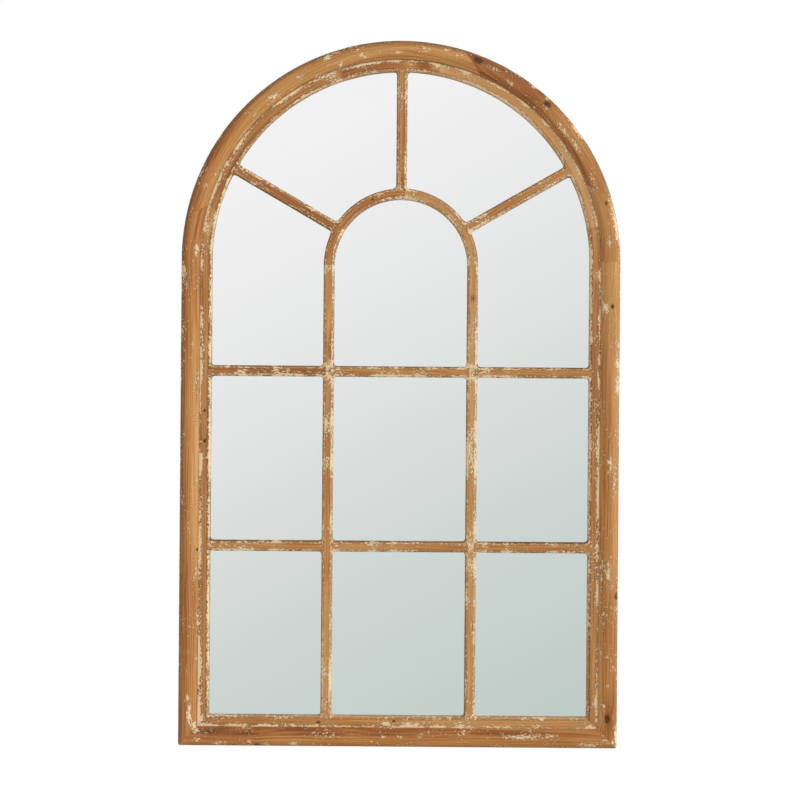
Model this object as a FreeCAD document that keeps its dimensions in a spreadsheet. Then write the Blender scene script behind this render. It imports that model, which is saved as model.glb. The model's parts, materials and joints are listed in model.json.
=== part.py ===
"""Arched window mirror: a round-headed wooden casing round a barred sash, laid over one mirror plate.

Millimetres, +Z up, the front faces -Y and +X is to the right as seen from the front.  The origin is
the centre of the bottom rail's underside, halfway through the frame's depth.  Every wooden length
is its own solid; the sash and the mirror go in from behind, against the casing's front lip.
"""
import FreeCAD, Part
import math
import os

import Sketcher

doc = FreeCAD.newDocument("arched_window_mirror")

# ------------------------------------------------------------------ driving sizes (mm and degrees)

SIZES = {
    # outline
    "overall_width": 800,          # across the casing; the arch is a half circle of this width
    "shoulder_height": 887,        # underside to the springing of the arch
    "frame_depth": 38,             # wall side to the crown of the roll
    # casing, a roll moulding with a lip in front of the sash
    "casing_width": 35.5,          # outer edge to the inner edge of the roll
    "crown_inset": 15,             # outer edge to the crown of the roll
    "shoulder_round": 12,          # depth of the roll's outer rounding
    "roll_rise": 10,               # crown above the sash's face
    "lip_thickness": 1.5,          # step from the roll down to the sash
    "lip_overlap": 6,              # how far the lip covers the sash
    "board_seat": 7.5,             # width of the shoulder that carries the backing board
    # sash and glazing bars
    "ledge_width": 20,             # visible width of the sash inside the roll
    "sash_thickness": 14,
    "bar_width": 20,
    "bar_land": 10.4,              # flat middle band of a glazing bar
    "edge_notch": 0.8,             # small step beside the flat band
    "edge_drop": 4,                # depth of the rounded edge below that step
    "bar_offset": 131,             # centre line to the middle of an upright bar
    "pane_height": 299,
    "fan_drop": 10,                # inner arch's centre below the casing arch's centre
    "spoke_angle": 60,             # side spokes, from upright
    # joints of the curved lengths: degrees from the crown, and half the slant of a scarf
    "casing_left_joint_angle": 77,
    "casing_left_slant_angle": 2.5,
    "casing_top_joint_angle": 19.5,
    "casing_top_slant_angle": 3.5,
    "casing_right_joint_angle": 70.5,
    "casing_right_slant_angle": 2.8,
    "sash_left_joint_angle": 75,
    "sash_crown_left_joint_angle": 18,
    "sash_crown_right_joint_angle": 11,
    "sash_right_joint_angle": 80,
    "fan_left_joint_angle": 58,
    "fan_crown_joint_angle": 3,
    "fan_right_joint_angle": 48,
    # mirror, backing and pads
    "mirror_thickness": 4,
    "mirror_clearance": 1.5,       # mirror's edge to the wall of its rebate
    "board_thickness": 4,
    "board_clearance": 1,
    "pad_length": 40,
    "pad_spacing": 400,
    # fasteners
    "screw_shank": 3,
    "screw_length": 14,
    "screw_head": 7,
    "screw_head_thickness": 1.6,
    "screw_head_bevel": 1,
    "screw_pitch": 200,            # along the straight sides
    "arch_screw_angle": 30,
    "rail_screw_pitch": 260,
    "dowel_diameter": 6,
    "dowel_length": 24,
    "dowel_inset": 14.5,           # outer edge to the dowel's middle
    # hangers
    "hanger_drop": 37,             # springing of the arch down to the rings' pivots
    "hanger_inset": 12,            # outer edge to the middle of a hanger
    "strap_width": 13,
    "strap_length": 44,
    "strap_thickness": 1.2,
    "strap_screw_first": 24,       # pivot to the first screw
    "strap_screw_pitch": 13,
    "wire_diameter": 2.8,
    "wire_clearance": 0.08,        # round the ring's bar inside the curl
    "ring_lift": 0.35,             # ring clear of the strap and of the frame
    "ring_width": 18.8,            # centre line of the wire
    "ring_height": 16,
    "ring_corner": 2.5,
    # wall bumpers
    "bumper_diameter": 10,
    "bumper_thickness": 4.5,
    "bumper_spacing": 740,
    "bumper_height": 11,
    # cutting shapes
    "cut_margin": 1,               # how far they reach past the wood
}


def make_sheet():
    """The spreadsheet of driving sizes, one alias to each."""
    sheet = doc.addObject("Spreadsheet::Sheet", "Sizes")
    for row, (name, number) in enumerate(SIZES.items(), start=1):
        sheet.set(f"A{row}", name)
        sheet.set(f"B{row}", str(number))
        sheet.setAlias(f"B{row}", name)
    doc.recompute()
    return sheet


sheet = make_sheet()


def number(expression):
    """The present value of an expression on the sheet."""
    found = sheet.evalExpression(expression)
    return float(getattr(found, "Value", found))


# ------------------------------------------------------------------ places shared by several pieces

HALF = "(Sizes.overall_width / 2)"
ARCH_Z = "Sizes.shoulder_height"
FAN_Z = "(Sizes.shoulder_height - Sizes.fan_drop)"

FRONT = "(-Sizes.frame_depth / 2)"
BACK = "(Sizes.frame_depth / 2)"
FACE = f"({FRONT} + Sizes.roll_rise)"                       # front of the sash and the bars
SASH_BACK = f"({FACE} + Sizes.sash_thickness)"
BOARD_FRONT = f"({SASH_BACK} + Sizes.mirror_thickness)"
BOARD_BACK = f"({BOARD_FRONT} + Sizes.board_thickness)"

ROLL_EDGE = f"({HALF} - Sizes.casing_width)"                # distances from the middle of the arch
REBATE = f"({ROLL_EDGE} + Sizes.lip_overlap)"
SEAT = f"({REBATE} + Sizes.board_seat)"
SIGHT = f"({ROLL_EDGE} - Sizes.ledge_width)"
FRAME_FACE = "(Sizes.casing_width + Sizes.ledge_width)"

EDGE_WIDTH = "((Sizes.bar_width - Sizes.bar_land) / 2)"     # the sash and the bars share one edge
EDGE_TOP = f"({FACE} + Sizes.edge_notch)"
EDGE_FOOT = f"({EDGE_TOP} + Sizes.edge_drop)"
EDGE_RADIUS = f"(({EDGE_WIDTH} ^ 2 + Sizes.edge_drop ^ 2) / (2 * Sizes.edge_drop))"

MID_LEDGE = f"({SIGHT} + Sizes.ledge_width / 2)"
LOWER_ROW = f"({FRAME_FACE} + Sizes.pane_height + Sizes.bar_width / 2)"
UPPER_ROW = f"({LOWER_ROW} + Sizes.bar_width + Sizes.pane_height)"

WIRE_RADIUS = "(Sizes.wire_diameter / 2)"
PIVOT_LIFT = f"(Sizes.strap_thickness + {WIRE_RADIUS} + Sizes.ring_lift)"
HANGER_X = f"({HALF} - Sizes.hanger_inset)"
HANGER_Z = f"({ARCH_Z} - Sizes.hanger_drop)"


# ------------------------------------------------------------------ helpers for sketches and bodies

def origin_plane(body, role):
    return next(item for item in body.Origin.OriginFeatures if item.Role == role)


def add_sketch(body, name, role):
    sketch = body.newObject("Sketcher::SketchObject", name)
    sketch.AttachmentSupport = [(origin_plane(body, role), "")]
    sketch.MapMode = "FlatFace"
    return sketch


def drive(sketch, kind, places, expression):
    """A constraint whose value follows an expression."""
    index = sketch.addConstraint(Sketcher.Constraint(kind, *places, number(expression)))
    sketch.setExpression(f"Constraints[{index}]", expression)


def place_point(sketch, edge, end, x_place, y_place):
    """Holds one end of an edge at two expressions, measured from the sketch's origin."""
    for kind, axis, expression in (("DistanceX", -2, x_place), ("DistanceY", -1, y_place)):
        if expression == "0":
            sketch.addConstraint(Sketcher.Constraint("PointOnObject", edge, end, axis))
        else:
            drive(sketch, kind, (-1, 1, edge, end), expression)


def arc_between(start, finish, radius, turn):
    """The short arc from start to finish; turn 1 bends it to the left, -1 to the right."""
    middle = (start + finish) * 0.5
    along = finish - start
    height = math.sqrt(max(radius ** 2 - (along.Length / 2) ** 2, 0.0))
    side = FreeCAD.Vector(-along.y, along.x, 0).normalize()
    centre = middle + side * (height * turn)
    first, last = (start, finish) if turn > 0 else (finish, start)
    angles = [math.atan2(point.y - centre.y, point.x - centre.x) for point in (first, last)]
    circle = Part.Circle(centre, FreeCAD.Vector(0, 0, 1), radius)
    return Part.ArcOfCircle(circle, angles[0], angles[1])


def draw_outline(sketch, corners, arcs=None):
    """A closed outline through corners given as pairs of expressions.

    arcs maps the number of an edge to (radius expression, turn); the other edges are straight.
    """
    arcs = arcs or {}
    points = [FreeCAD.Vector(number(x), number(y), 0) for x, y in corners]
    ends = []
    for index, start in enumerate(points):
        finish = points[(index + 1) % len(points)]
        if index in arcs:
            radius, turn = arcs[index]
            sketch.addGeometry(arc_between(start, finish, number(radius), turn))
            ends.append((1, 2) if turn > 0 else (2, 1))
        else:
            sketch.addGeometry(Part.LineSegment(start, finish))
            ends.append((1, 2))
    for index, (x_place, y_place) in enumerate(corners):
        previous = index - 1 if index else len(corners) - 1
        joint = (previous, ends[previous][1], index, ends[index][0])
        sketch.addConstraint(Sketcher.Constraint("Coincident", *joint))
        place_point(sketch, index, ends[index][0], x_place, y_place)
    for index, (radius, _) in arcs.items():
        drive(sketch, "Radius", (index,), radius)


def draw_circle(sketch, x_place, y_place, radius):
    centre = FreeCAD.Vector(number(x_place), number(y_place), 0)
    edge = sketch.addGeometry(Part.Circle(centre, FreeCAD.Vector(0, 0, 1), number(radius)))
    place_point(sketch, edge, 3, x_place, y_place)
    drive(sketch, "Radius", (edge,), radius)


def pad(body, sketch, length, reverse=False, symmetric=False):
    feature = body.newObject("PartDesign::Pad", "Pad")
    feature.Profile = sketch
    feature.setExpression("Length", length)
    feature.Reversed = reverse
    feature.SideType = "Symmetric" if symmetric else "One side"
    return feature


def pocket_through(body, sketch):
    feature = body.newObject("PartDesign::Pocket", "Pocket")
    feature.Profile = sketch
    feature.Type = "ThroughAll"
    feature.SideType = "Symmetric"
    return feature


def revolve(body, sketch, angle, reverse=False):
    """Turns a section about the sketch's upright axis."""
    feature = body.newObject("PartDesign::Revolution", "Revolution")
    feature.Profile = sketch
    feature.ReferenceAxis = (sketch, ["V_Axis"])
    feature.Angle = angle
    feature.Reversed = reverse
    return feature


def put(piece, x_place="0", y_place="0", z_place="0", axis=(0, 1, 0), turn="0"):
    """Places a piece by expressions: a turn about one axis, then a shift."""
    rotation = FreeCAD.Rotation(FreeCAD.Vector(*axis), number(turn))
    piece.Placement = FreeCAD.Placement(FreeCAD.Vector(), rotation)
    for letter, expression in (("x", x_place), ("y", y_place), ("z", z_place)):
        piece.setExpression(f"Placement.Base.{letter}", expression)
    if turn.strip("-0123456789"):
        piece.setExpression("Placement.Rotation.Angle", turn)
    return piece


def new_body(name):
    return doc.addObject("PartDesign::Body", name)


def combine(kind, name, base, tool):
    """A Part boolean of two objects: kind is Cut, Common or Fuse."""
    result = doc.addObject(f"Part::{kind}", name)
    result.Base = base
    result.Tool = tool
    return result


def group(name, members):
    result = doc.addObject("Part::Compound", name)
    result.Links = members
    return result


def copies(name, piece, places):
    """One group of placed copies of a piece; each place is a dictionary for put()."""
    members = []
    for index, place in enumerate(places, start=1):
        link = doc.addObject("App::Link", f"{name}_{index}")
        link.LinkedObject = piece
        members.append(put(link, **place))
    return group(name, members)


NODES = {}


def keep(node, piece):
    """Names a finished piece: the node's name is its label and its file's name."""
    piece.Label = node
    NODES[node] = piece
    return piece


# ------------------------------------------------------------------ the three wooden sections

def casing_section(sketch):
    """The roll in front, the lip, the rebate for sash and mirror, and the seat for the board."""
    crown = f"({HALF} - Sizes.crown_inset)"
    inner_run = "(Sizes.casing_width - Sizes.crown_inset)"
    inner_fall = "(Sizes.roll_rise - Sizes.lip_thickness)"
    outer_radius = "((Sizes.crown_inset ^ 2 + Sizes.shoulder_round ^ 2) / (2 * Sizes.shoulder_round))"
    inner_radius = f"(({inner_run} ^ 2 + {inner_fall} ^ 2) / (2 * {inner_fall}))"
    corners = [
        (HALF, BACK),
        (HALF, f"{FRONT} + Sizes.shoulder_round"),
        (crown, FRONT),
        (ROLL_EDGE, f"{FACE} - Sizes.lip_thickness"),
        (ROLL_EDGE, FACE),
        (REBATE, FACE),
        (REBATE, BOARD_FRONT),
        (SEAT, BOARD_FRONT),
        (SEAT, BACK),
    ]
    draw_outline(sketch, corners, {1: (outer_radius, -1), 2: (inner_radius, -1)})


def sash_section(sketch):
    """The flat ledge with its stepped and rounded edge towards the mirror."""
    corners = [
        (REBATE, SASH_BACK),
        (REBATE, FACE),
        (f"{SIGHT} + {EDGE_WIDTH}", FACE),
        (f"{SIGHT} + {EDGE_WIDTH}", EDGE_TOP),
        (SIGHT, EDGE_FOOT),
        (SIGHT, SASH_BACK),
    ]
    draw_outline(sketch, corners, {3: (EDGE_RADIUS, -1)})


def bar_section(sketch, middle):
    """A glazing bar's section about a middle line: a flat band with the sash's edge on each side."""
    half_bar = "Sizes.bar_width / 2"
    half_land = "Sizes.bar_land / 2"
    corners = [
        (f"{middle} + {half_bar}", SASH_BACK),
        (f"{middle} + {half_bar}", EDGE_FOOT),
        (f"{middle} + {half_land}", EDGE_TOP),
        (f"{middle} + {half_land}", FACE),
        (f"{middle} - {half_land}", FACE),
        (f"{middle} - {half_land}", EDGE_TOP),
        (f"{middle} - {half_bar}", EDGE_FOOT),
        (f"{middle} - {half_bar}", SASH_BACK),
    ]
    draw_outline(sketch, corners, {1: (EDGE_RADIUS, -1), 5: (EDGE_RADIUS, -1)})


# ------------------------------------------------------------------ straight and curved lengths

def mitre(body, name, corner_z, into):
    """Cuts the 45 degree corner off a length; into is 1 where the wood lies above corner_z."""
    sketch = add_sketch(body, name, "XZ_Plane")
    inner = f"({SIGHT} - Sizes.cut_margin)"
    sign = "+" if into > 0 else "-"
    away = "-" if into > 0 else "+"
    corners = [
        (f"{HALF} + Sizes.cut_margin", f"{corner_z} {away} Sizes.cut_margin"),
        (inner, f"{corner_z} {sign} ({HALF} - {inner})"),
        (inner, f"{corner_z} {away} Sizes.cut_margin"),
    ]
    draw_outline(sketch, corners)
    return pocket_through(body, sketch)


def stile(name, section, side):
    """An upright length from the bottom mitre to the springing; side is 1 right, -1 left."""
    body = new_body(name)
    sketch = add_sketch(body, f"{name}_section", "XY_Plane")
    section(sketch)
    pad(body, sketch, ARCH_Z, reverse=side > 0)
    mitre(body, f"{name}_mitre", f"-{ARCH_Z}" if side > 0 else ARCH_Z, side)
    return put(body, z_place=ARCH_Z, turn="0" if side > 0 else "180")


def rail(name, section):
    """The bottom length, mitred at both ends."""
    body = new_body(name)
    sketch = add_sketch(body, f"{name}_section", "XY_Plane")
    section(sketch)
    pad(body, sketch, "Sizes.overall_width")
    mitre(body, f"{name}_left_mitre", "0", 1)
    mitre(body, f"{name}_right_mitre", "Sizes.overall_width", -1)
    return put(body, x_place=f"-{HALF}", z_place=HALF, turn="90")


def half_ring(name, section, centre_z):
    """A whole half circle of a section, from which the curved lengths are cut."""
    body = new_body(name)
    sketch = add_sketch(body, f"{name}_section", "XY_Plane")
    section(sketch)
    revolve(body, sketch, 180, reverse=True)
    return put(body, z_place=centre_z)


def sector(name, centre_z, inner, outer, start, finish):
    """The space between two joints of a ring; each joint is (angle, slant) from the crown.

    The slant leans the joint: it is taken off the angle outside and added to it inside.
    """
    near = f"({inner} - Sizes.cut_margin)"
    far = f"({outer} + Sizes.cut_margin)"

    def corner(radius, angle):
        return f"{radius} * sin({angle})", f"{radius} * cos({angle})"

    body = new_body(name)
    sketch = add_sketch(body, f"{name}_outline", "XZ_Plane")
    corners = [
        corner(far, f"{start[0]} - {start[1]}"),
        corner(far, f"{finish[0]} - {finish[1]}"),
        corner(near, f"{finish[0]} + {finish[1]}"),
        corner(near, f"{start[0]} + {start[1]}"),
    ]
    draw_outline(sketch, corners, {0: (far, -1), 2: (near, 1)})
    pad(body, sketch, "2 * Sizes.frame_depth", symmetric=True)
    return put(body, z_place=centre_z)


def curved_length(name, ring, centre_z, inner, outer, start, finish):
    cutter = sector(f"{name}_sector", centre_z, inner, outer, start, finish)
    return combine("Common", name, ring, cutter)


def bar(name, length, x_place, z_place, turn):
    """A straight glazing bar: it starts at a point of the face and runs upright, then turns."""
    body = new_body(name)
    sketch = add_sketch(body, f"{name}_section", "XY_Plane")
    bar_section(sketch, "0")
    pad(body, sketch, length)
    return put(body, x_place=x_place, z_place=z_place, turn=turn)


def scribe(name, piece, neighbours):
    """Cuts the ends of a length to the shape of the wood that it meets."""
    for index, neighbour in enumerate(neighbours):
        piece = combine("Cut", f"{name}_scribed_{index}", piece, neighbour)
    return piece


# ------------------------------------------------------------------ fasteners

def make_screw():
    """A pan-head wood screw; its head bears at y 0 and its shank runs forwards to -Y."""
    body = new_body("screw_blank")
    sketch = add_sketch(body, "screw_profile", "XY_Plane")
    corners = [
        ("0", "Sizes.screw_head_thickness"),
        ("Sizes.screw_head / 2 - Sizes.screw_head_bevel", "Sizes.screw_head_thickness"),
        ("Sizes.screw_head / 2", "0"),
        ("Sizes.screw_shank / 2", "0"),
        ("Sizes.screw_shank / 2", "-Sizes.screw_length + Sizes.screw_shank"),
        ("0", "-Sizes.screw_length"),
    ]
    draw_outline(sketch, corners)
    revolve(body, sketch, 360)
    return body


def make_dowel():
    """A plain dowel about its own middle, lying along Z."""
    body = new_body("dowel_blank")
    sketch = add_sketch(body, "dowel_circle", "XY_Plane")
    draw_circle(sketch, "0", "0", "Sizes.dowel_diameter / 2")
    pad(body, sketch, "Sizes.dowel_length", symmetric=True)
    return body


def board_screw_places():
    """Round the backing board: both sides, the arch and the bottom, as many as their pitch allows."""
    line = f"({REBATE} + Sizes.board_seat / 2)"
    side_count = int(number(f"{ARCH_Z} / Sizes.screw_pitch"))
    arch_reach = math.ceil(90 / number("Sizes.arch_screw_angle")) - 1
    rail_reach = int(number(f"{HALF} / Sizes.rail_screw_pitch"))
    places = []
    for step in range(side_count):
        height = f"{ARCH_Z} - ({step} + 0.5) * Sizes.screw_pitch"
        for side in ("-", ""):
            places.append({"x_place": f"{side}{line}", "y_place": BOARD_BACK, "z_place": height})
    for step in range(-arch_reach, arch_reach + 1):
        angle = f"({step} * Sizes.arch_screw_angle)"
        places.append({
            "x_place": f"{line} * sin({angle})",
            "y_place": BOARD_BACK,
            "z_place": f"{ARCH_Z} + {line} * cos({angle})",
        })
    for step in range(-rail_reach, rail_reach + 1):
        places.append({
            "x_place": f"{step} * Sizes.rail_screw_pitch",
            "y_place": BOARD_BACK,
            "z_place": f"{HALF} - {line}",
        })
    return places


def dowel_places():
    """One across each bottom mitre, and one in the square joint at the right springing."""
    inset = "Sizes.dowel_inset"
    edge = f"({HALF} - {inset})"
    return [
        {"x_place": f"-{edge}", "z_place": inset, "turn": "-45"},
        {"x_place": edge, "z_place": inset, "turn": "45"},
        {"x_place": edge, "z_place": ARCH_Z},
    ]


def hanger_screw_places():
    places = []
    for side in ("-", ""):
        for step in (0, 1):
            drop = f"(Sizes.strap_screw_first + {step} * Sizes.strap_screw_pitch)"
            places.append({
                "x_place": f"{side}{HANGER_X}",
                "y_place": f"{BACK} + Sizes.strap_thickness",
                "z_place": f"{HANGER_Z} - {drop}",
            })
    return places


screw = make_screw()
backing_screws = copies("backing_screws", screw, board_screw_places())
hanger_screws = copies("hanger_screws", screw, hanger_screw_places())
casing_dowels = copies("casing_dowels", make_dowel(), dowel_places())
fasteners = group("fasteners", [backing_screws, hanger_screws, casing_dowels])

keep("backing_screws", backing_screws)
keep("hanger_screws", hanger_screws)
keep("casing_dowels", casing_dowels)


# ------------------------------------------------------------------ casing

def keep_drilled(node, piece):
    """A length of the casing, with the holes of the fasteners that enter it."""
    return keep(node, combine("Cut", f"{node}_drilled", piece, fasteners))


def make_casing():
    ring = half_ring("casing_ring", casing_section, ARCH_Z)
    left = ("(-Sizes.casing_left_joint_angle)", "Sizes.casing_left_slant_angle")
    top = ("Sizes.casing_top_joint_angle", "Sizes.casing_top_slant_angle")
    right = ("Sizes.casing_right_joint_angle", "(-Sizes.casing_right_slant_angle)")

    def length(name, start, finish):
        return curved_length(name, ring, ARCH_Z, ROLL_EDGE, HALF, start, finish)

    straight_left = stile("casing_left_straight", casing_section, -1)
    haunch = length("casing_left_haunch", ("-90", "0"), left)
    left_stile = combine("Fuse", "casing_left_whole", straight_left, haunch)
    keep_drilled("casing_left_stile", left_stile)
    keep_drilled("casing_arch_left", length("casing_arch_left_length", left, top))
    keep_drilled("casing_arch_right", length("casing_arch_right_length", top, right))
    keep_drilled("casing_shoulder", length("casing_shoulder_length", right, ("90", "0")))
    keep_drilled("casing_right_stile", stile("casing_right_straight", casing_section, 1))
    keep_drilled("casing_bottom_rail", rail("casing_bottom_length", casing_section))


# ------------------------------------------------------------------ sash

def make_sash():
    ring = half_ring("sash_ring", sash_section, ARCH_Z)
    left = ("(-Sizes.sash_left_joint_angle)", "0")
    crown_left = ("(-Sizes.sash_crown_left_joint_angle)", "0")
    crown_right = ("Sizes.sash_crown_right_joint_angle", "0")
    right = ("Sizes.sash_right_joint_angle", "0")

    def length(name, start, finish):
        return curved_length(name, ring, ARCH_Z, SIGHT, REBATE, start, finish)

    def curved_stile(node, side, start, finish):
        straight = stile(f"{node}_straight", sash_section, side)
        haunch = length(f"{node}_haunch", start, finish)
        return keep(node, combine("Fuse", f"{node}_whole", straight, haunch))

    left_stile = curved_stile("sash_left_stile", -1, ("-90", "0"), left)
    right_stile = curved_stile("sash_right_stile", 1, right, ("90", "0"))
    keep("sash_arch_left", length("sash_arch_left_length", left, crown_left))
    keep("sash_crown", length("sash_crown_length", crown_left, crown_right))
    keep("sash_arch_right", length("sash_arch_right_length", crown_right, right))
    bottom = keep("sash_bottom_rail", rail("sash_bottom_length", sash_section))
    return ring, left_stile, right_stile, bottom


# ------------------------------------------------------------------ glazing bars

def make_uprights(bottom_rail):
    """Two bars from the bottom rail to the springing of the inner arch."""
    foot = "(Sizes.casing_width + Sizes.ledge_width / 2)"
    uprights = {}
    for side, sign in (("left", "-"), ("right", "")):
        node = f"upright_bar_{side}"
        blank = bar(f"{node}_blank", f"{FAN_Z} - {foot}", f"{sign}Sizes.bar_offset", foot, "0")
        uprights[side] = keep(node, scribe(node, blank, [bottom_rail]))
    return uprights


def make_crossbars(uprights, left_stile, right_stile):
    """Two rows of three short bars, scribed to the uprights and the stiles."""
    outer_length = f"{MID_LEDGE} - Sizes.bar_offset"
    spans = {
        "left": (f"-{MID_LEDGE}", outer_length, [left_stile, uprights["left"]]),
        "middle": ("-Sizes.bar_offset", "2 * Sizes.bar_offset", list(uprights.values())),
        "right": ("Sizes.bar_offset", outer_length, [uprights["right"], right_stile]),
    }
    for row, height in (("upper", UPPER_ROW), ("lower", LOWER_ROW)):
        for place, (start, length, neighbours) in spans.items():
            node = f"crossbar_{row}_{place}"
            blank = bar(f"{node}_blank", length, start, height, "90")
            keep(node, scribe(node, blank, neighbours))


def make_fan_arch():
    """The inner arch in four lengths, springing from the uprights."""
    def section(sketch):
        bar_section(sketch, "Sizes.bar_offset")

    ring = half_ring("fan_ring", section, FAN_Z)
    inner = "(Sizes.bar_offset - Sizes.bar_width / 2)"
    outer = "(Sizes.bar_offset + Sizes.bar_width / 2)"
    joints = [
        ("-90", "0"),
        ("(-Sizes.fan_left_joint_angle)", "0"),
        ("Sizes.fan_crown_joint_angle", "0"),
        ("Sizes.fan_right_joint_angle", "0"),
        ("90", "0"),
    ]
    names = ("fan_haunch_left", "fan_arch_left", "fan_arch_right", "fan_haunch_right")
    for node, start, finish in zip(names, joints, joints[1:]):
        keep(node, curved_length(f"{node}_length", ring, FAN_Z, inner, outer, start, finish))
    return ring


def make_spokes(fan_ring, sash_ring):
    """Three bars from the inner arch out to the sash, pointing at the inner arch's centre."""
    for side, factor in (("left", "-1"), ("centre", "0"), ("right", "1")):
        node = f"spoke_{side}"
        angle = f"({factor} * Sizes.spoke_angle)"
        reach = (f"(Sizes.fan_drop * cos({angle})"
                 f" + sqrt({MID_LEDGE} ^ 2 - (Sizes.fan_drop * sin({angle})) ^ 2))")
        blank = bar(
            f"{node}_blank",
            f"{reach} - Sizes.bar_offset",
            f"Sizes.bar_offset * sin({angle})",
            f"{FAN_Z} + Sizes.bar_offset * cos({angle})",
            angle,
        )
        keep(node, scribe(node, blank, [fan_ring, sash_ring]))


# ------------------------------------------------------------------ mirror, board and pads

def arched_plate(name, half_width, foot, front, thickness):
    """A flat plate with a half-round head, standing on the height called foot."""
    body = new_body(name)
    sketch = add_sketch(body, f"{name}_outline", "XZ_Plane")
    corners = [
        (half_width, foot),
        (half_width, ARCH_Z),
        ("0", f"{ARCH_Z} + {half_width}"),
        (f"-{half_width}", ARCH_Z),
        (f"-{half_width}", foot),
    ]
    draw_outline(sketch, corners, {1: (half_width, 1), 2: (half_width, 1)})
    pad(body, sketch, thickness, reverse=True)
    return put(body, y_place=front)


def make_plates():
    mirror_half = f"({REBATE} - Sizes.mirror_clearance)"
    board_half = f"({SEAT} - Sizes.board_clearance)"
    mirror_foot = f"({HALF} - {mirror_half})"
    board_foot = f"({HALF} - {board_half})"
    mirror = arched_plate("mirror_body", mirror_half, mirror_foot, SASH_BACK,
                          "Sizes.mirror_thickness")
    board = arched_plate("board_body", board_half, board_foot, BOARD_FRONT,
                         "Sizes.board_thickness")
    keep("mirror_plate", mirror)
    keep("backing_board", combine("Cut", "backing_board_drilled", board, backing_screws))


def make_setting_pads():
    """Two strips that carry the mirror's lower edge off the rebate."""
    pads = []
    for index, sign in enumerate(("-", "")):
        strip = doc.addObject("Part::Box", f"setting_pad_{index}")
        strip.setExpression("Length", "Sizes.pad_length")
        strip.setExpression("Width", "Sizes.mirror_thickness")
        strip.setExpression("Height", "Sizes.mirror_clearance")
        middle = f"{sign}Sizes.pad_spacing / 2"
        put(strip, f"{middle} - Sizes.pad_length / 2", SASH_BACK, f"{HALF} - {REBATE}")
        pads.append(strip)
    keep("mirror_setting_pads", group("setting_pads", pads))


# ------------------------------------------------------------------ hangers and bumpers

def make_strap(node, sign):
    """A hanger strap: a plate against the frame's back, curled round the ring's bar at the top."""
    body = new_body(node)
    bore = f"({WIRE_RADIUS} + Sizes.wire_clearance)"
    plate = add_sketch(body, f"{node}_plate", "XY_Plane")
    half_strap = "Sizes.strap_width / 2"
    draw_outline(plate, [
        (f"-{half_strap}", "0"),
        (half_strap, "0"),
        (half_strap, "Sizes.strap_thickness"),
        (f"-{half_strap}", "Sizes.strap_thickness"),
    ])
    pad(body, plate, "Sizes.strap_length", reverse=True)
    curl = add_sketch(body, f"{node}_curl", "YZ_Plane")
    draw_circle(curl, PIVOT_LIFT, "0", f"{bore} + Sizes.strap_thickness")
    pad(body, curl, "Sizes.strap_width", symmetric=True)
    hole = add_sketch(body, f"{node}_bore", "YZ_Plane")
    draw_circle(hole, PIVOT_LIFT, "0", bore)
    pocket_through(body, hole)
    put(body, f"{sign}{HANGER_X}", BACK, HANGER_Z)
    return keep(node, combine("Cut", f"{node}_drilled", body, hanger_screws))


def make_ring(node, sign):
    """A D-shaped wire ring hanging from its straight bar; its origin is on the pivot."""
    body = new_body(node)
    path = add_sketch(body, f"{node}_path", "XZ_Plane")
    half_ring_width = "(Sizes.ring_width / 2)"
    bend = "Sizes.ring_corner"
    straight = f"({half_ring_width} - {bend})"
    bow_top = f"(-Sizes.ring_height + {half_ring_width})"
    corners = [
        (straight, "0"),
        (half_ring_width, f"-{bend}"),
        (half_ring_width, bow_top),
        ("0", "-Sizes.ring_height"),
        (f"-{half_ring_width}", bow_top),
        (f"-{half_ring_width}", f"-{bend}"),
        (f"-{straight}", "0"),
    ]
    arcs = {
        0: (bend, -1),
        2: (half_ring_width, -1),
        3: (half_ring_width, -1),
        5: (bend, -1),
    }
    draw_outline(path, corners, arcs)
    wire = add_sketch(body, f"{node}_wire", "YZ_Plane")
    draw_circle(wire, "0", "0", WIRE_RADIUS)
    doc.recompute()
    pipe = body.newObject("PartDesign::AdditivePipe", "Pipe")
    pipe.Profile = wire
    pipe.Spine = (path, [])
    put(body, f"{sign}{HANGER_X}", f"{BACK} + {PIVOT_LIFT}", HANGER_Z)
    return keep(node, body)


def make_bumpers():
    """Two round pads that keep the bottom of the frame off the wall."""
    bumpers = []
    for index, sign in enumerate(("-", "")):
        bumper = doc.addObject("Part::Cylinder", f"bumper_{index}")
        bumper.setExpression("Radius", "Sizes.bumper_diameter / 2")
        bumper.setExpression("Height", "Sizes.bumper_thickness")
        put(bumper, f"{sign}Sizes.bumper_spacing / 2", BACK, "Sizes.bumper_height",
            axis=(1, 0, 0), turn="-90")
        bumpers.append(bumper)
    keep("wall_bumpers", group("bumpers", bumpers))


# ------------------------------------------------------------------ build, check and write

make_casing()
sash_ring, sash_left, sash_right, sash_bottom = make_sash()
make_crossbars(make_uprights(sash_bottom), sash_left, sash_right)
make_spokes(make_fan_arch(), sash_ring)
make_plates()
make_setting_pads()
for side_name, side_sign in (("left", "-"), ("right", "")):
    make_strap(f"hanger_strap_{side_name}", side_sign)
    make_ring(f"hanger_ring_{side_name}", side_sign)
make_bumpers()
doc.recompute()


def check_document():
    for item in doc.Objects:
        if "Invalid" in item.State or "Error" in item.State:
            raise RuntimeError(f"{item.Label} failed: {item.State}")
    for node, piece in NODES.items():
        if piece.Shape.isNull() or not piece.Shape.isValid() or not piece.Shape.Solids:
            raise RuntimeError(f"{node} has no valid solid")


def write_parts():
    os.makedirs("parts", exist_ok=True)
    for node, piece in NODES.items():
        piece.Shape.exportStep(f"parts/{node}.step")
        solids = piece.Shape.Solids
        print(f"{node}: {len(solids)} solid(s), {sum(solid.Volume for solid in solids):.1f} mm3")


check_document()
write_parts()
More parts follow.
